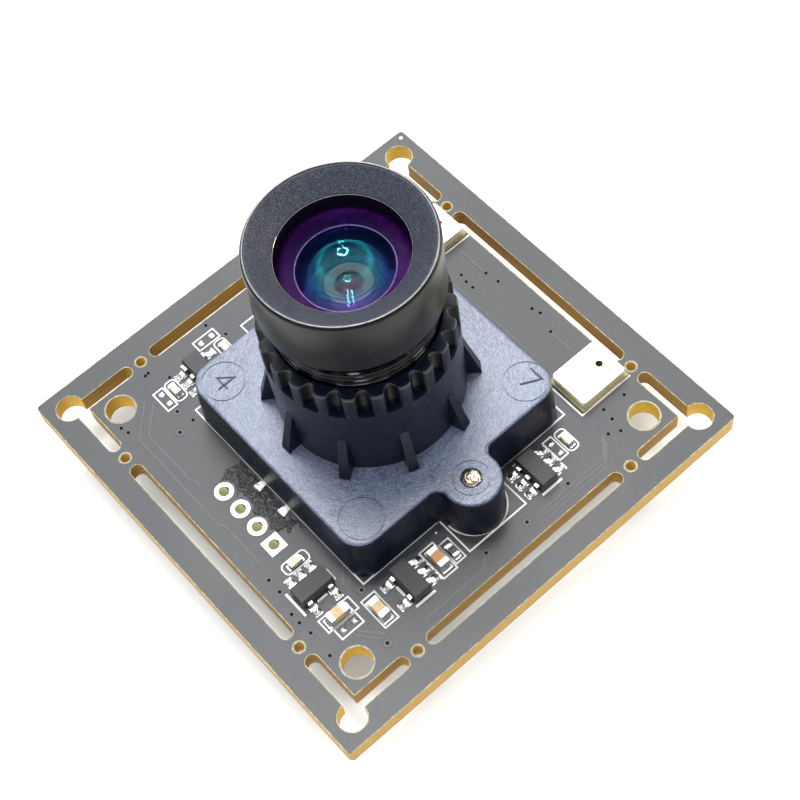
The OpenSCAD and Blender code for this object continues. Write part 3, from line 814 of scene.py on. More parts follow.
# bars beside the chips
for pts, w in (([(-14.62, -9.0), (-14.62, -6.7)], 0.2), ([(-11.25, -8.3), (-11.25, -7.2)], 0.2),
               ([(-13.3, -8.75), (-12.4, -8.75)], 0.16),
               ([(-8.42, -11.8), (-8.42, -12.75)], 0.2), ([(-8.4, -13.95), (-6.55, -13.95)], 0.2),
               ([(4.2, -13.75), (6.15, -13.75)], 0.2), ([(4.2, -10.5), (6.15, -10.5)], 0.14),
               ([(-8.5, 13.85), (-6.6, 13.85)], 0.18), ([(-6.62, 11.85), (-6.62, 12.65)], 0.16)):
    sline(pts, w)
# microphone corners
sline([(10.9, -6.9), (10.9, -10.95 - 0.05), (15.9, -11.0)], 0.13)
sline([(10.9, 11.3), (10.9, 7.15), (15.9, 7.15)], 0.13)
# fiducial and pin mark
silk.prism(circle(18.45, 18.4, 0.16, 20), SK0, SK1)
silk.prism(circle(-3.5, -10.6, 0.09, 16), SK0, SK1)
def under_box(node, grow=0.18, w=0.12):
    (x0_, y0_, _), (x1_, y1_, _) = (tuple(v / MM for v in c_) for c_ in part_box(node))
    silk.ring([(x0_ - grow - w, y0_ - grow - w), (x1_ + grow + w, y0_ - grow - w), (x1_ + grow + w, y1_ + grow + w), (x0_ - grow - w, y1_ + grow + w)],
              [(x0_ - grow, y0_ - grow), (x1_ + grow, y0_ - grow), (x1_ + grow, y1_ + grow), (x0_ - grow, y1_ + grow)], -0.02, 0.01)


for node_ in ("image_processor", "crystal_base"):
    under_box(node_)
silk.obj("printed_legend", M_SILK, BODY, slot="board_laminate", angle=30)

# lands under and beside the parts
pads = Build()
PZ0, PZ1 = ZB - 0.01, ZB + 0.035


def pad(x, y, w, h, r=0.06, z1=PZ1):
    pads.prism(rrect(x - w / 2, y - h / 2, x + w / 2, y + h / 2, r, 3), PZ0, z1, 0.012)


solder = Build()


def bead(x, y, dx, dy, w, reach, height):
    """Concave solder fillet: it climbs a part's end at (x, y) whose outward direction is (dx, dy)."""
    n, k = 6, 7
    px, py = -dy, dx
    verts, faces = [], []
    prof = []
    for i in range(n + 1):
        t = i / n
        prof.append((reach * t, height * (1 - t) ** 2.1 + 0.025))
    for j in range(k + 1):
        s_ = (j / k - 0.5)
        edge = 1.0 - (abs(s_) * 2) ** 4 * 0.55
        for u, h in prof:
            verts.append((x + dx * (u * (0.75 + 0.25 * edge)) + px * w * s_, y + dy * (u * (0.75 + 0.25 * edge)) + py * w * s_, ZB + h * edge))
        verts.append((x + dx * prof[-1][0] * (0.75 + 0.25 * edge) + px * w * s_, y + dy * prof[-1][0] * (0.75 + 0.25 * edge) + py * w * s_, ZB - 0.01))
        verts.append((x + px * w * s_, y + py * w * s_, ZB - 0.01))
    m_ = n + 3
    for j in range(k):
        for i in range(m_):
            a, b = j * m_ + i, j * m_ + (i + 1) % m_
            faces.append((a, b, b + m_, a + m_))
    faces.append(tuple(range(m_))[::-1])
    faces.append(tuple(k * m_ + i for i in range(m_)))
    solder.add(verts, faces)


def chip_part(x, y, quarter, size, side=1):
    """Lands and solder of a two-ended part."""
    L, W, H = size
    vertical = quarter == 1
    for sgn in (-1, 1):
        dx, dy = (0, sgn) if vertical else (sgn, 0)
        cx, cy = x + dx * L / 2, y + dy * L / 2
        pw = W * 1.12
        pl = L * 0.42
        px_, py_ = cx - dx * pl * 0.15, cy - dy * pl * 0.15
        if vertical:
            pad(px_, py_, pw, pl + 0.12)
        else:
            pad(px_, py_, pl + 0.12, pw)
        bead(cx - dx * 0.02, cy - dy * 0.02, dx, dy, W * 0.98, L * 0.16, H * 0.62)


SMALL, LARGE, CRES = (1.0, 0.5, 0.5), (1.6, 0.8, 0.8), (1.0, 0.5, 0.35)
for c in ((-12.55, -5.3, 0), (8.6, -11.7, 1), (-10.1, 12.45, 1), (-4.9, 12.65, 1)):
    chip_part(c[0], c[1], c[2], SMALL)
for c in ((-12.93, -10.6, 0), (-10.5, -12.35, 1), (-4.82, -12.35, 1)):
    chip_part(c[0], c[1], c[2], LARGE)
chip_part(-3.62, -12.55, 1, CRES)

# unpopulated lands: tinned, domed
lands = Build()


def land(x, y, w, h):
    lands.prism(rrect(x - w / 2, y - h / 2, x + w / 2, y + h / 2, 0.1, 4), PZ0, ZB + 0.06, 0.05)


for x, y in ((-13.35, -11.7), (-12.3, -11.7)):
    land(x, y, 0.5, 0.55)
for x, y in ((7.53, -11.12), (7.53, -12.12)):
    land(x, y, 0.52, 0.5)
for x, y in ((-11.15, 12.92), (-11.15, 11.88)):
    land(x, y, 0.52, 0.5)
for x, y in ((-6.05, 14.42), (-5.0, 14.42)):
    land(x, y, 0.5, 0.55)

# chip lead lands and solder
CHIPS = [(-12.88, -7.77, 1, (0, 1, 2), (0, 2)), (-7.45, -12.3, 0, (0, 1, 2), (0, 2)),
         (5.15, -12.12, 0, (0, 1, 2), (0, 1, 2)), (-7.55, 12.25, 2, (0, 1, 2), (0, 2))]
for cx, cy, q, sa, sb in CHIPS:
    for side, ks in ((1, sa), (-1, sb)):
        for k in ks:
            lx, ly = side * 1.32, (k - 1) * 0.95
            c_, s_ = round(math.cos(q * PI / 2)), round(math.sin(q * PI / 2))
            px_, py_ = cx + lx * c_ - ly * s_, cy + lx * s_ + ly * c_
            dx, dy = side * c_, side * s_
            w, h = (1.02, 0.66) if c_ else (0.66, 1.02)
            pad(px_ + dx * 0.08, py_ + dy * 0.08, w, h)
            bead(px_ + dx * 0.1, py_ + dy * 0.1, dx, dy, 0.46, 0.30, 0.14)
            # solder also wets the sides of the foot
            solder.prism(rrect(px_ - (0.42 if c_ else 0.24), py_ - (0.24 if c_ else 0.42),
                               px_ + (0.42 if c_ else 0.24), py_ + (0.24 if c_ else 0.42), 0.12, 4), ZB, ZB + 0.085, 0.06)
            solder.prism(rrect(px_ + dx * 0.22 - (0.34 if c_ else 0.33), py_ + dy * 0.22 - (0.33 if c_ else 0.34),
                               px_ + dx * 0.22 + (0.34 if c_ else 0.33), py_ + dy * 0.22 + (0.33 if c_ else 0.34), 0.2, 5), ZB, ZB + 0.07, 0.05)
# microphone lands peep out under the bases
for mx, my in ((13.45, -9.05), (13.45, 9.2)):
    for sx in (-1, 1):
        for sy in (-1, 1):
            pad(mx + sx * 1.9, my + sy * 1.55, 0.9, 0.75)
# two tinned lands that run under the holder wall
for y in (1.4, -1.45):
    pads.prism([(-9.9, y - 0.30), (-9.9, y + 0.30), (-10.35, y + 0.32), (-10.8, y + 0.42), (-10.86, y + 0.30), (-10.86, y - 0.30), (-10.8, y - 0.42), (-10.35, y - 0.32)][::-1],
               PZ0, ZB + 0.09, 0.05)
pads.obj("solder_lands", M_TIN, BODY, slot="tin_plate", angle=40)
lands.obj("bare_lands", M_TIN, BODY, slot="tin_plate", angle=60)
solder.obj("solder_fillets", M_SOLDER, BODY, slot="tin_plate", angle=55)

# plated cable holes: land rings with a barrel through the board
rings, barrels = Build(), Build()
for k, y in enumerate((2.95, 0.95, -1.05, -3.05)):
    cx = -12.75
    for zs, z0, z1 in ((1, ZB - 0.01, ZB + 0.04), (-1, 0.01, -0.035)):
        n = 48
        inner = circle(cx, y, 0.44, n)
        if k == 3:
            sq = []
            for i in range(n):
                t = 2 * PI * i / n
                c_, s_ = math.cos(t), math.sin(t)
                q = 0.725 / max(abs(c_), abs(s_))
                sq.append((cx + q * c_, y + q * s_))
            outer = sq
        else:
            outer = circle(cx, y, 0.75, n)
        rings.ring(outer, inner, min(z0, z1), max(z0, z1))
    barrels.ring(circle(cx, y, 0.449, 48), circle(cx, y, 0.436, 48), -0.03, ZB + 0.035)
rings.obj("cable_hole_plating", M_TIN, BODY, slot="tin_plate", angle=40)
# the barrels are plated, and their light matt cream colour is painted light: it stands for light the plating reflects
M_WALL = flat("plated_wall_painted_light", (0.74, 0.72, 0.44), (0.90, 0.88, 0.64), 0.30, 6.0, 0.4, 0.02, 0.05)
barrels.obj("cable_hole_barrels", M_WALL, BODY, slot="tin_plate", angle=40)

# vias
vias, vrings, etch = Build(), Build(), Build()
VIAS = [(-11.0, 15.2, 0), (-10.68, 15.25, 0), (-15.18, 12.8, 0), (-15.0, 12.1, 0), (-12.08, 9.3, 1), (-10.68, 9.45, 0),
        (-11.12, 10.9, 1), (-9.7, 13.75, 0), (-4.05, 13.75, 0), (-4.7, 15.5, 0), (-11.55, 3.25, 0), (-14.83, -5.0, 0),
        (-14.83, -6.25, 0), (-15.3, -8.2, 0), (-15.3, -9.1, 0), (-15.2, -10.25, 0), (-15.3, -12.5, 0), (-10.4, -10.25, 1),
        (-11.7, -14.6, 1), (-1.93, -14.3, 1), (1.88, -14.55, 1), (11.2, -13.45, 0), (12.05, -13.9, 0), (12.3, -12.75, 0),
        (12.4, -11.75, 0), (14.4, -11.9, 0), (6.2, -14.35, 0), (14.3, -4.0, 0), (14.7, -1.45, 0), (14.9, -2.2, 0),
        (14.55, 2.25, 0), (14.4, 3.5, 0), (12.9, 4.75, 0), (12.75, 4.0, 0), (12.75, 3.25, 0)]
for x, y, r in VIAS:
    vias.prism(circle(x, y, 0.135, 20), ZB - 0.01, ZB + 0.018)
    vrings.ring(circle(x, y, 0.31 if r else 0.19, 28), circle(x, y, 0.13, 28), ZB - 0.01, ZB + 0.016)
    if r:
        etch.ring(circle(x, y, 0.40, 28), circle(x, y, 0.34, 28), ZB - 0.01, ZB + 0.006)
vias.obj("via_wells", M_VIA, BODY, slot="board_laminate")

# copper tracks under the mask
def track(pts, w=0.16):
    vrings.strip(pts, w, ZB - 0.01, ZB + 0.010)
    etch.strip(pts, w + 0.07, ZB - 0.01, ZB + 0.005)


def bus(n, x, y, ddx, ddy, steps, w=0.14):
    """n parallel tracks, each shifted by (ddx, ddy), along the given steps."""
    for k in range(n):
        track([(x + ddx * k + sx, y + ddy * k + sy) for sx, sy in steps], w)


track([(-12.3, 13.5), (-14.75, 11.05), (-14.75, 1.0), (-14.45, 0.7), (-14.45, -3.4)], 0.2)
track([(-11.9, 12.9), (-14.0, 10.8), (-14.0, 5.6), (-13.75, 5.35), (-13.75, 4.6)], 0.2)
track([(-13.0, -12.5), (-11.8, -14.0)])
track([(-12.6, -12.45), (-11.4, -13.9)])
track([(-10.3, -8.0), (-11.1, -9.0)])
track([(-9.9, -8.3), (-10.7, -9.3)])
for k in range(3):
    track([(10.9 + 0.5 * k, -4.6), (10.9 + 0.5 * k, 4.4)], 0.16)
track([(14.3, -4.0), (14.3, -6.6)], 0.2)
track([(14.4, 3.5), (14.4, 6.9)], 0.2)
bus(3, 2.6, -15.3, 0.16, 0.36, [(0, 0), (6.6, 0), (8.0, 1.4)])
track([(-1.93, -14.3), (-3.0, -15.1), (-8.5, -15.1)], 0.16)
vrings.obj("copper_relief", M_TRACE, BODY, slot="board_laminate", angle=30)
M_ETCH = flat("mask_over_gap", (0.022, 0.022, 0.025), (0.034, 0.034, 0.038), 0.45, 9.0, 0.2, 0.006)
etch.obj("copper_gaps", M_ETCH, BODY, slot="board_laminate", angle=30)

# crinkled glue residue between the cable holes and the holder
def residue():
    m = Mat("glue_residue", (0.012, 0.012, 0.013), 0.12, 0.0)
    n = m.noise(2.6, 4.0, 0.65, 3.5)
    c = m.mix(n.ramp(0.40, 0.66), (0.008, 0.008, 0.009), (0.046, 0.047, 0.050))
    # painted highlight: the highest parts of the folds are lightened
    crest = m.xyz()[2].ramp(ZB + 0.035, ZB + 0.075)
    c = m.mix(crest * n.ramp(0.42, 0.55), c, (0.15, 0.15, 0.155))
    m.color(m.mix(m.noise(6.0, 3.0, 0.6, 2.5).ramp(0.61, 0.69) * 0.5, c, (0.30, 0.30, 0.31)))
    m.set("Roughness", m.noise(7.0, 3.0) * 0.25 + 0.04)
    m.bump(m.noise(3.6, 4.0, 0.7, 2.5), 0.7, 0.06)
    verts, faces = [], []
    nx, ny = 76, 210
    x0, x1, y0, y1 = -12.45, -10.12, -4.0, 4.6
    def inside(x, y):
        t = noise.noise(Vector((x * 0.8, y * 0.7, 3.1))) * 0.9 + noise.noise(Vector((x * 2.3, y * 2.1, 8.1))) * 0.55
        cx_ = (x - (x0 + x1) / 2) / ((x1 - x0) / 2)
        cy_ = (y - 0.4) / 4.1
        keep = min(math.hypot(x + 12.75, y - yy) for yy in (2.95, 0.95, -1.05, -3.05)) - 0.88
        return min(1.0 - max(abs(cx_) ** 4.0, abs(cy_) ** 3.0) - 0.22 + t, keep * 2.0)
    idx = {}
    for j in range(ny + 1):
        for i in range(nx + 1):
            x = x0 + (x1 - x0) * i / nx
            y = y0 + (y1 - y0) * j / ny
            a = max(0.0, min(1.0, inside(x, y) * 3.0))
            v = noise.noise(Vector((x * 1.6 + y * 0.8, y * 2.4, 1.0)))
            w = 1.0 - abs(noise.noise(Vector((x * 1.9 + v * 0.7, y * 1.25 - v * 0.6, 5.0)))) * 2.6
            u = 1.0 - abs(noise.noise(Vector((x * 3.6 + y, y * 2.6, 9.0)))) * 2.4
            h = a * (0.006 + 0.085 * max(0.0, w) ** 5 + 0.035 * max(0.0, u) ** 3)
            idx[(i, j)] = len(verts)
            verts.append((x, y, ZB - 0.02 + h + 0.02 * a))
    base = len(verts)
    for j in range(ny):
        for i in range(nx):
            faces.append((idx[(i, j)], idx[(i + 1, j)], idx[(i + 1, j + 1)], idx[(i, j + 1)]))
    loop = [(i, 0) for i in range(nx + 1)] + [(nx, j) for j in range(1, ny + 1)] + [(i, ny) for i in range(nx - 1, -1, -1)] + [(0, j) for j in range(ny - 1, 0, -1)]
    for i, j in loop:
        x, y, z = verts[idx[(i, j)]]
        verts.append((x, y, ZB - 0.06))
    L = len(loop)
    for a in range(L):
        b = (a + 1) % L
        faces.append((idx[loop[b]], idx[loop[a]], base + a, base + b))
    faces.append(tuple(base + a for a in range(L)))
    return make("glue_residue", verts, faces, m, BODY, slot="board_laminate", angle=70)


residue()

# ------------------------------------------------------------------ lens holder

FOOT_H, TUBE_R, TUBE_H, BORE = 4.7, 7.1, 14.5, 6.0


def foot_outline(s_, R, re, rf=0.7):
    """Rounded square with a screw ear on +Y and -Y, counterclockwise."""
    def half(sign):
        d = math.sqrt((re + rf) ** 2 - (11.0 - s_ - rf) ** 2)
        ang = math.degrees(math.atan2(-(11.0 - s_ - rf), d))
        pts = []
        pts += arc(s_ - R, s_ - R, R, 0, 90, 8)
        pts += [(d + rf + 0.9, s_)]
        fc = arc(d, s_ + rf, rf, 270, 180 + ang, 6)
        pts += fc
        pts += arc(0.0, 11.0, re, ang, 180 - ang, 26)[1:-1]
        pts += [(-x, y) for x, y in fc[::-1]]
        pts += [(-(d + rf + 0.9), s_)]
        pts += arc(-(s_ - R), s_ - R, R, 90, 180, 8)
        return pts
    top = half(1)
    return top + [(-x, -y) for x, y in top]


def lofted(levels, outline_fn):
    b = Build()
    rings_ = [[(x, y, z) for x, y in outline_fn(*args)] for z, args in levels]
    n = len(rings_[0])
    verts = [p for r in rings_ for p in r]
    faces = [tuple(range(n))[::-1]]
    for k in range(len(rings_) - 1):
        for i in range(n):
            j = (i + 1) % n
            faces.append((k * n + i, k * n + j, (k + 1) * n + j, (k + 1) * n + i))
    faces.append(tuple((len(rings_) - 1) * n + i for i in range(n)))
    b.add(verts, faces)
    return b


rt = 0.24
levels = [(ZB + 0.02, (10.03, 1.5, 2.34)), (ZB + FOOT_H - rt, (9.93, 1.85, 2.26))]
for i in range(1, 6):
    a = i / 5 * PI / 2
    levels.append((ZB + FOOT_H - rt + rt * math.sin(a), (9.93 - rt * (1 - math.cos(a)), 1.85 - rt * (1 - math.cos(a)) * 0.7, 2.26 - rt * (1 - math.cos(a)))))
holder = temp(lofted(levels, foot_outline), "holder")

SCALLOPS = 22
PHASE = math.radians(4.9 - 0.34)


def tube_radius(theta, depth):
    """Wavy rim: rounded lobes with round-bottomed recesses of about the same width."""
    u = (theta - PHASE) * SCALLOPS / (2 * PI)
    u = abs(u - math.floor(u + 0.5))                  # 0 in the middle of a recess, 0.5 on a crest
    if u < 0.27:
        return TUBE_R - depth * math.cos(u / 0.27 * PI / 2) ** 0.55
    v = (0.5 - u) / 0.23                              # crest: rounded, falls off towards the recess
    return TUBE_R - depth * 0.16 * v ** 3 * (1.0 if depth > 0.3 else 0.0)


def tube():
    b = Build()
    n = SCALLOPS * 24
    lv = [(ZB + FOOT_H - 0.4, 0.0, 0.0), (ZB + 12.0, 0.0, 0.0), (ZB + 12.08, 0.0, 0.0), (ZB + 12.12, 0.62, 0.0),
          (ZB + 12.3, 0.72, 0.0), (ZB + 14.26, 0.72, 0.0), (ZB + 14.36, 0.72, 0.02), (ZB + 14.44, 0.71, 0.06), (ZB + 14.49, 0.70, 0.13), (ZB + 14.5, 0.70, 0.20)]
    rows = []
    for z, depth, cut in lv:
        rows.append([(r_ * math.cos(t_), r_ * math.sin(t_), z) for t_ in [2 * PI * k / n for k in range(n)]
                     for r_ in [tube_radius(t_, depth) - cut]])
    # the crests carry a slight hollow, as moulded
    rows.append([((BORE + 0.12) * math.cos(2 * PI * k / n), (BORE + 0.12) * math.sin(2 * PI * k / n), ZB + 14.5) for k in range(n)])
    rows.append([((BORE + 0.0) * math.cos(2 * PI * k / n), (BORE + 0.0) * math.sin(2 * PI * k / n), ZB + 14.3) for k in range(n)])
    rows.append([((BORE + 0.0) * math.cos(2 * PI * k / n), (BORE + 0.0) * math.sin(2 * PI * k / n), ZB + FOOT_H - 0.4) for k in range(n)])
    verts = [p for r in rows for p in r]
    faces = []
    m_ = len(rows)
    for k in range(m_):
        for i in range(n):
            j = (i + 1) % n
            k2 = (k + 1) % m_
            faces.append((k * n + i, k * n + j, k2 * n + j, k2 * n + i))
    b.add(verts, faces)
    return b


cut = Build()
cut.prism(rrect(-8.15, -8.15, 8.15, 8.15, 1.0, 5), ZB - 1.0, ZB + 3.4)
boolean(holder, temp(cut), "DIFFERENCE")
cut = Build()
cut.prism(circle(0, 0, BORE, 96), ZB + 4.5, ZB + 6.0)
boolean(holder, temp(cut), "DIFFERENCE")
cut = Build()
cut.box(-3.4, -3.4, ZB + 3.0, 3.4, 3.4, ZB + 5.0)
boolean(holder, temp(cut), "DIFFERENCE")
cut = Build()
for sy in (-1, 1):
    cut.prism(circle(0, sy * 11.0, 0.80, 40), ZB - 1, ZB + 6)
boolean(holder, temp(cut), "DIFFERENCE")
cut = Build()
for sy in (-1, 1):
    cut.ring(circle(0, sy * 11.0, 1.42, 48), circle(0, sy * 11.0, 1.34, 48), ZB + FOOT_H - 0.06, ZB + FOOT_H + 0.5)
boolean(holder, temp(cut), "DIFFERENCE")
# ejector marks: fine circular grooves
cut = Build()
MARKS = [(-7.75, -8.0), (-7.9, 7.75), (8.15, -7.95), (8.0, 8.0)]
for mx, my in MARKS:
    cut.ring(circle(mx, my, 1.70, 48), circle(mx, my, 1.62, 48), ZB + FOOT_H - 0.06, ZB + FOOT_H + 0.5)
boolean(holder, temp(cut), "DIFFERENCE")
boolean(holder, temp(tube()), "UNION")
ribs_b = Build()
for k in range(10):
    t_ = 2 * PI * k / 10
    prof = [(6.6, FOOT_H - 0.3), (8.2, FOOT_H - 0.3), (8.18, FOOT_H + 0.3), (8.1, FOOT_H + 0.55), (7.12, 8.75), (6.6, 8.9)]
    c_, s_ = math.cos(t_), math.sin(t_)
    verts, faces = [], []
    for side in (-1, 1):
        for r_, z_ in prof:
            half = (0.40 if z_ < FOOT_H + 1.0 else 0.33) * side
            verts.append((r_ * c_ - half * s_, r_ * s_ + half * c_, ZB + z_))
    n = len(prof)
    faces = [tuple(range(n)), tuple(range(n, 2 * n))[::-1]]
    for i in range(n):
        j = (i + 1) % n
        faces.append((i, i + n, j + n, j))
    ribs_b.add(verts, faces)
boolean(holder, temp(ribs_b), "UNION")
holder.name = "lens_holder_moulding"
holder.data.name = "lens_holder_moulding"
holder.data.materials.clear()
holder.data.materials.append(M_HOLDER.mat)
holder.data.materials.append(M_PLATE.mat)
for p in holder.data.polygons:
    p.material_index = 0
finish_mesh(holder, 32)
for p in holder.data.polygons:
    zc = p.center.z / MM - ZB
    p.material_index = 1 if (p.normal.z > 0.72 and FOOT_H - 0.3 < zc < FOOT_H + 0.05) else 0
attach(holder, BODY)
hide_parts("lens_holder")

# raised numerals in two of the marks: plain numbers, drawn as strokes, coloured dark as painted shade of the relief
num = Build()


def numeral(strokes, cx, cy, ang, h=1.5, w=0.13):
    c_, s_ = math.cos(ang), math.sin(ang)
    for st in strokes:
        pts = [(cx + (x * c_ - y * s_) * h, cy + (x * s_ + y * c_) * h) for x, y in st]
        num.strip(pts, w, ZB + FOOT_H - 0.02, ZB + FOOT_H + 0.07)


seven = [[(-0.42, 0.5), (0.42, 0.5), (-0.12, -0.5)]]
four = [[(0.16, -0.5), (0.16, 0.5), (-0.42, -0.16), (0.44, -0.16)]]
numeral(seven, 8.42, -8.0, math.radians(-90), 1.5, 0.12)
numeral(four, -7.85, 7.7, math.radians(-90), 1.5, 0.12)
# painted shade: the numeral strokes are near-black
M_MARK = flat("mould_mark_painted_shade", (0.010, 0.012, 0.020), (0.022, 0.026, 0.040), 0.35, 8.0, 0.3, 0.01)
num.obj("mould_numerals", M_MARK, BODY, slot="holder_plastic", angle=40)

paint("holder_screws", M_STEEL)

# ------------------------------------------------------------------ lens

B0 = 7.4
HEAD0, TOP, HR = 17.5, 22.95, 6.66
TH_R, TH_D, PITCH = 5.93, 0.11, 0.5


def threaded_barrel():
    """Barrel with a turned thread: one closed surface, rows follow the helix between two plain ends."""
    n = 144
    rows = []
    def row(fn):
        rows.append([fn(2 * PI * k / n) for k in range(n)])
    def plain(r_, z_):
        row(lambda t: (r_ * math.cos(t), r_ * math.sin(t), ZB + z_))
    plain(3.95, B0)
    plain(5.6, B0)
    z_a, z_b = B0 + 0.3, 16.02
    step = PITCH / 6
    m_ = int((z_b - z_a) / step)
    for i in range(m_ + 1):
        z_ = z_a + i * step
        def f(t, z_=z_):
            ph = (z_ / PITCH - t / (2 * PI)) % 1.0
            tri = 1.0 - abs(ph * 2 - 1)
            tri = max(0.0, min(1.0, tri * 1.35 - 0.12))
            fade = min(1.0, (z_ - z_a) / 0.4, (z_b - z_) / 0.4)
            r_ = TH_R - TH_D * (1 - tri) * max(0.0, fade) - 0.3 * max(0.0, 1 - (z_ - z_a) / 0.3) * (1 if z_ < z_a + 0.3 else 0)
            return (r_ * math.cos(t), r_ * math.sin(t), ZB + z_)
        row(f)
    plain(TH_R, 16.08)
    plain(TH_R, 16.20)
    plain(TH_R - 0.14, 16.24)
    plain(TH_R - 0.14, 16.62)
    plain(TH_R - 0.04, 16.68)
    plain(TH_R - 0.04, 16.86)
    plain(TH_R - 0.3, 17.00)
    plain(TH_R - 0.32, HEAD0 + 0.02)
    plain(3.95, HEAD0 + 0.02)
    verts = [p for r in rows for p in r]
    faces = []
    mm_ = len(rows)
    for k in range(mm_):
        for i in range(n):
            j = (i + 1) % n
            k2 = (k + 1) % mm_
            faces.append((k * n + i, k * n + j, k2 * n + j, k2 * n + i))
    return verts, faces


v, f = threaded_barrel()
make("barrel_thread", v, f, M_THREAD, LENS, slot="lens_metal", replaces=["lens_barrel"], angle=50)

head = Build()
head.lathe([(4.9, ZB + 17.4), (5.6, ZB + 17.38), (HR - 0.26, ZB + HEAD0 - 0.02), (HR - 0.14, ZB + HEAD0 + 0.02), (HR - 0.04, ZB + HEAD0 + 0.12), (HR, ZB + HEAD0 + 0.26),
            (HR, ZB + TOP - 0.34), (HR - 0.02, ZB + TOP - 0.24), (HR - 0.08, ZB + TOP - 0.14), (HR - 0.16, ZB + TOP - 0.07),
            (HR - 0.25, ZB + TOP - 0.05), (HR - 0.265, ZB + TOP - 0.12), (HR - 0.27, ZB + TOP - 2.0), (4.9, ZB + TOP - 2.0)], 160)
head.obj("lens_head_shell", M_ANOD, LENS, slot="lens_metal", replaces=["lens_barrel"], angle=30)
# bright turned edge around the rim
rim = Build()
rim.lathe([(HR - 0.245, ZB + TOP - 0.10), (HR - 0.155, ZB + TOP - 0.085), (HR - 0.16, ZB + TOP - 0.055), (HR - 0.205, ZB + TOP - 0.035), (HR - 0.25, ZB + TOP - 0.04), (HR - 0.262, ZB + TOP - 0.07)], 160)
rim.obj("lens_rim_edge", M_RIM, LENS, slot="lens_metal", angle=60)

OPEN = 4.6
R0 = HR - 0.28
cap = Build()
cap.lathe([(OPEN + 0.05, ZB + 20.98), (OPEN + 0.02, ZB + TOP - 1.42), (OPEN, ZB + TOP - 1.30), (OPEN + 0.03, ZB + TOP - 1.25), (OPEN + 0.10, ZB + TOP - 1.20),
           (R0 - 0.55, ZB + TOP - 0.42), (R0 - 0.14, ZB + TOP - 0.14), (R0 - 0.06, ZB + TOP - 0.10), (R0, ZB + TOP - 0.12), (R0, ZB + 20.98)], 160)
cap_o = cap.obj("front_ring_speckled", M_SPECK, LENS, slot="lens_metal", replaces=["front_cap_ring"], angle=50)
cap_o.data.materials.append(M_LIP.mat)
for p in cap_o.data.polygons:
    if math.hypot(p.center.x, p.center.y) / MM < OPEN + 0.07:
        p.material_index = 1

# painted highlight: a thin light metal ring stands for the glint along the top edge of the opening
M_GLINT = flat("lip_painted_glint", (0.30, 0.30, 0.31), (0.62, 0.62, 0.62), 0.20, 6.0, 0.2, 0.005, 0.7)
solid_lip = Build()
solid_lip.lathe([(OPEN + 0.012, ZB + TOP - 1.262), (OPEN + 0.040, ZB + TOP - 1.272), (OPEN + 0.062, ZB + TOP - 1.238), (OPEN + 0.046, ZB + TOP - 1.212), (OPEN + 0.018, ZB + TOP - 1.226)], 160)
solid_lip.obj("front_lip_painted_glint", M_GLINT, LENS, slot="lens_metal", angle=60)

# glass, seen as a set of nested coated surfaces


def glass(name, base, alpha, rough=0.03, metal=1.0, grad=None):
    m = Mat(name, base, rough, metal)
    m.p.inputs["Alpha"].default_value = alpha
    x, y, z = m.xyz()
    r_ = (x * x + y * y).sqrt()
    smear = m.noise(0.9, 3.0, 0.6, 1.0)
    if grad:
        m.color(m.mix(smear.ramp(0.3, 0.7) * 0.25, m.gradient((r_ / 5.0), grad), base))
    else:
        m.color(m.mix(smear.ramp(0.3, 0.7), tuple(c * 0.85 for c in base), base))
    m.set("Roughness", smear * 0.03 + rough)
    return m


def dome(r_, zc, sag, n=24):
    R = (r_ * r_ + sag * sag) / (2 * abs(sag))
    s_ = 1 if sag > 0 else -1
    return [(r_ * i / n, zc - s_ * (R - math.sqrt(R * R - (r_ * i / n) ** 2))) for i in range(n + 1)]


def solid(pts):
    b = Build()
    b.lathe([(r_, ZB + z_) for r_, z_ in pts], 128)
    return b


def coat(name, stops, alpha_stops, rough=0.02, smear=0.25):
    """Coated glass: a coloured mirror that mostly lets through, with rings of colour by radius."""
    m = Mat(name, stops[0][1], rough, 1.0)
    x, y, z = m.xyz()
    r_ = (x * x + y * y).sqrt() / 5.0
    n = m.noise(0.8, 3.0, 0.6, 1.0)
    col = m.gradient(r_ + (n * 0.04 - 0.02), stops)
    m.color(m.mix(n.ramp(0.35, 0.7) * smear, col, tuple(min(1.0, c * 1.5 + 0.01) for c in stops[-1][1])))
    m.set("Alpha", m.gradient(r_, [(p_, (a_, a_, a_)) for p_, a_ in alpha_stops]))
    m.set("Roughness", n * 0.03 + rough)
    return m


M_G1 = coat("coat_violet", [(0.0, (0.02, 0.06, 0.35)), (0.45, (0.06, 0.05, 0.50)), (0.66, (0.10, 0.03, 0.50)), (0.74, (0.30, 0.03, 0.58)), (0.92, (0.34, 0.02, 0.46))],
            [(0.0, 0.004), (0.62, 0.004), (0.68, 0.010), (0.76, 0.020), (0.92, 0.018)], smear=0.12)
_x, _y, _z = M_G1.xyz()
M_G1.set("Roughness", ((_x * _x + _y * _y).sqrt() / 5.0).ramp(0.56, 0.66, 0.03, 0.26))
M_G1B = coat("coat_teal", [(0.0, (0.03, 0.30, 0.34)), (0.28, (0.01, 0.34, 0.36)), (0.33, (0.02, 0.62, 0.54)), (0.39, (0.01, 0.50, 0.52)), (0.44, (0.01, 0.10, 0.34)), (0.52, (0.03, 0.05, 0.45)), (0.70, (0.10, 0.07, 0.55))],
             [(0.0, 0.012), (0.26, 0.009), (0.30, 0.024), (0.345, 0.075), (0.385, 0.055), (0.44, 0.012), (0.58, 0.012), (0.70, 0.022)], smear=0.06)
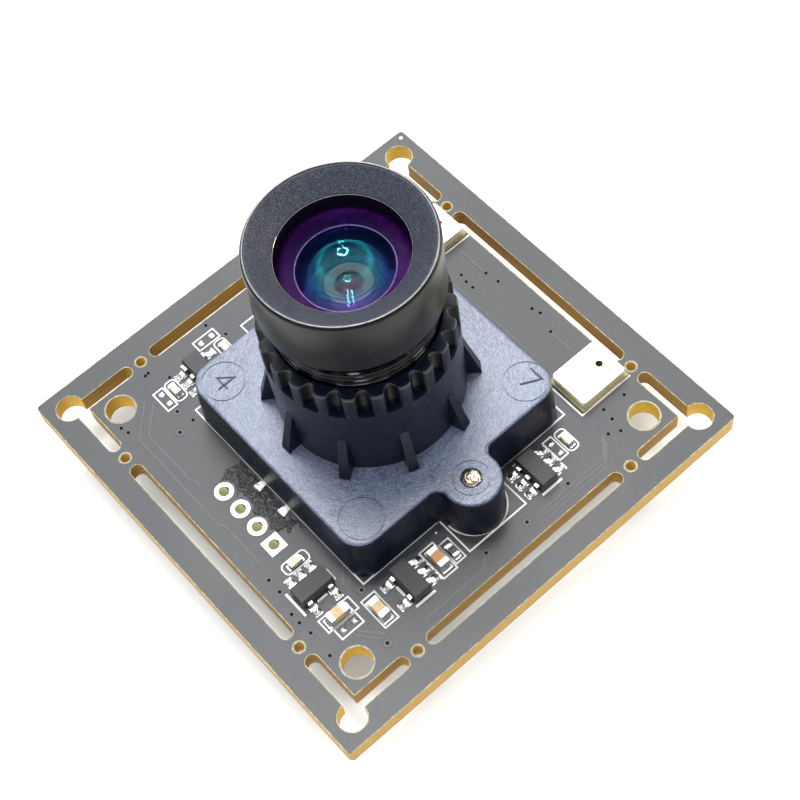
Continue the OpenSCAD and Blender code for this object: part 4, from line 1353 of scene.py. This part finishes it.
M_G2 = coat("coat_blue", [(0.0, (0.05, 0.40, 0.52)), (0.26, (0.06, 0.46, 0.60)), (0.33, (0.15, 0.50, 0.58)), (0.39, (0.10, 0.46, 0.62)), (0.46, (0.04, 0.30, 0.66)), (0.56, (0.03, 0.14, 0.60)), (0.68, (0.05, 0.05, 0.45))],
            [(0.0, 0.010), (0.22, 0.018), (0.34, 0.040), (0.50, 0.042), (0.68, 0.03)], smear=0.08)
M_G3 = coat("coat_magenta", [(0.0, (0.60, 0.05, 0.12)), (0.3, (0.50, 0.05, 0.20)), (0.7, (0.10, 0.10, 0.35))], [(0.0, 0.10), (1.0, 0.10)], smear=0.1)
# painted reflection: the glass seen through the pupil is an opaque surface, dark red in the middle and bluish outwards
M_PUPIL = Mat("pupil_painted_red_reflection", (0.07, 0.008, 0.014), 0.12, 0.0)
_px, _py, _pz = M_PUPIL.xyz()
_n = M_PUPIL.noise(0.8, 3.0, 0.6, 1.0)
M_PUPIL.color(M_PUPIL.gradient((_px * _px + _py * _py).sqrt() / 5.0 + (_n * 0.06 - 0.03), [(0.0, (0.085, 0.010, 0.014)), (0.12, (0.070, 0.009, 0.020)), (0.24, (0.020, 0.012, 0.040))]))
M_PUPIL.set("Roughness", _n * 0.08 + 0.08)
M_GEDGE = flat("lens_edge_ink", (0.003, 0.002, 0.008), (0.008, 0.005, 0.020), 0.25, 4.0, 0.1, 0.005, Specular_IOR_Level=0.1)
M_SHIM = flat("shim_violet", (0.004, 0.001, 0.016), (0.012, 0.002, 0.034), 0.30, 2.0, 0.1, 0.005, Specular_IOR_Level=0.04)
# painted highlight: the thin ring at the edge of the front glass's hollow is coloured light violet
M_RING = flat("hollow_edge", (0.045, 0.038, 0.125), (0.12, 0.10, 0.27), 0.25, 3.0, 0.1, 0.003)
M_DEEP = flat("rear_ink", (0.001, 0.003, 0.007), (0.002, 0.008, 0.015), 0.22, 2.0, 0.1, 0.005, Specular_IOR_Level=0.06)

hollow = dome(3.45, 20.8, 0.88)[::-1]
front_g = solid(dome(OPEN - 0.0, TOP - 1.42, 0.5) + [(4.84, TOP - 2.02), (4.84, 19.93)] + hollow) \
    .obj("front_glass", M_G1, LENS, slot="lens_glass", replaces=["front_element"], angle=30)
front_g.data.materials.append(M_G1B.mat)
for p in front_g.data.polygons:
    if p.center.z / MM < ZB + 20.95 and math.hypot(p.center.x, p.center.y) / MM < 3.44:
        p.material_index = 1
solid([(3.47, 19.72), (4.84, 19.72), (4.84, 19.9), (3.47, 19.9)]).obj("glass_shim", M_SHIM, LENS, slot="lens_spacer", replaces=["spacer_ring"])
solid([(3.40, 19.84), (3.46, 19.84), (3.46, 19.915), (3.40, 19.915)]).obj("hollow_edge_ring", M_RING, LENS, slot="lens_glass", angle=60)
solid([(4.862, 17.95), (4.9, 17.95), (4.9, 20.94), (4.862, 20.94)]).obj("glass_edge_ink", M_GEDGE, LENS, slot="lens_spacer")
solid(dome(3.35, 19.05, -0.645) + [(3.45, 19.68), (4.84, 19.68), (4.84, 18.12), (0, 18.12)]) \
    .obj("second_glass", M_G2, LENS, slot="lens_glass", replaces=["second_element"], angle=30)
for r_, c_, w_ in ((2.52, (0.008, 0.016, 0.070), 0.030), (2.10, (0.004, 0.034, 0.055), 0.030), (1.80, (0.008, 0.060, 0.066), 0.018)):
    z_ = 19.05 + 9.022 - math.sqrt(9.022 ** 2 - r_ * r_)
    solid([(r_ - w_, z_ - 0.03), (r_ + w_, z_ - 0.03), (r_ + w_, z_ + 0.012), (r_ - w_, z_ + 0.012)]).obj(
        "glass_ring_%d" % round(r_ * 100), flat("glass_ring_%d" % round(r_ * 100), c_, tuple(2.0 * v for v in c_), 0.35, 3.0, 0.1, 0.003, Specular_IOR_Level=0.04), LENS, slot="lens_glass", angle=60)
solid([(1.68, 18.06), (4.84, 18.06), (4.84, 18.10), (1.68, 18.10)]).obj("second_glass_ink", M_DEEP, LENS, slot="lens_spacer", angle=40)
M_STOP = flat("aperture_metal", (0.050, 0.055, 0.056), (0.085, 0.090, 0.090), 0.50, 3.0, 0.2, 0.01, 0.0, Specular_IOR_Level=0.2)
solid([(1.0, 17.9), (4.84, 17.9), (4.84, 18.04), (1.0, 18.04)]).obj("aperture_disc", M_STOP, LENS, slot="aperture_metal", replaces=["aperture_stop"], angle=40)
solid(dome(3.2, 17.78, 0.5) + [(3.3, 17.28), (3.3, 17.38), (3.88, 17.38), (3.88, 14.62), (3.0, 14.62)] + dome(2.9, 14.02, -0.6)[::-1]) \
    .obj("third_glass", M_PUPIL, LENS, slot="lens_glass", replaces=["third_element"], angle=30)
solid([(3.1, 13.02), (3.88, 13.02), (3.88, 14.58), (3.1, 14.58)]).obj("rear_spacer_ring", M_LBLACK, LENS, slot="lens_spacer", replaces=["rear_spacer"])
solid(dome(3.0, 13.46, 0.5) + [(3.05, 12.92), (3.15, 12.98), (3.88, 12.98), (3.88, 9.42), (2.9, 9.42)] + dome(2.8, 9.02, -0.4)[::-1]) \
    .obj("rear_glass", M_G3, LENS, slot="lens_glass", replaces=["rear_element"], angle=30)
paint("rear_retaining_ring", M_LBLACK)

# ------------------------------------------------------------------ parts on the lens side

paint("microphone_bases", M_MICBASE)
paint("microphone_cans", M_MIC)
paint("regulator_chips", M_CHIP, 0.04, 2)
paint("regulator_leads", M_LEAD, 0.02, 2)
paint("cream_capacitors", M_CREAM, 0.02, 2)
paint("tan_capacitors", M_TAN, 0.02, 2)
paint("brown_capacitor", M_BROWN, 0.02, 2)
paint("capacitor_terminals", M_TERM, 0.045, 3)
paint("resistors", M_RES, 0.015, 2)
paint("resistor_terminals", M_TERM, 0.03, 2)
paint("image_sensor", M_CHIP)
M_WIN = glass("window_glass", (0.55, 0.75, 0.75), 0.3, 0.03, 0.6)
paint("sensor_glass", M_WIN)
paint("ir_filter", M_WIN)

# ------------------------------------------------------------------ underside

paint("image_processor", M_CHIP, 0.05, 2)
paint("memory_chip", M_CHIP, 0.05, 2)
paint("memory_leads", M_LEAD, 0.02, 2)
paint("crystal_base", M_XBASE, 0.03, 2)
paint("crystal_lid", M_XLID, 0.05, 2)
paint("power_inductors", M_FERRITE, 0.10, 3)
paint("inductor_terminals", M_TERM, 0.02, 2)
paint("connector_housing", M_CONN, 0.04, 2)
paint("connector_contacts", M_GOLD, 0.02, 2)
paint("connector_clips", M_TERM, 0.02, 2)
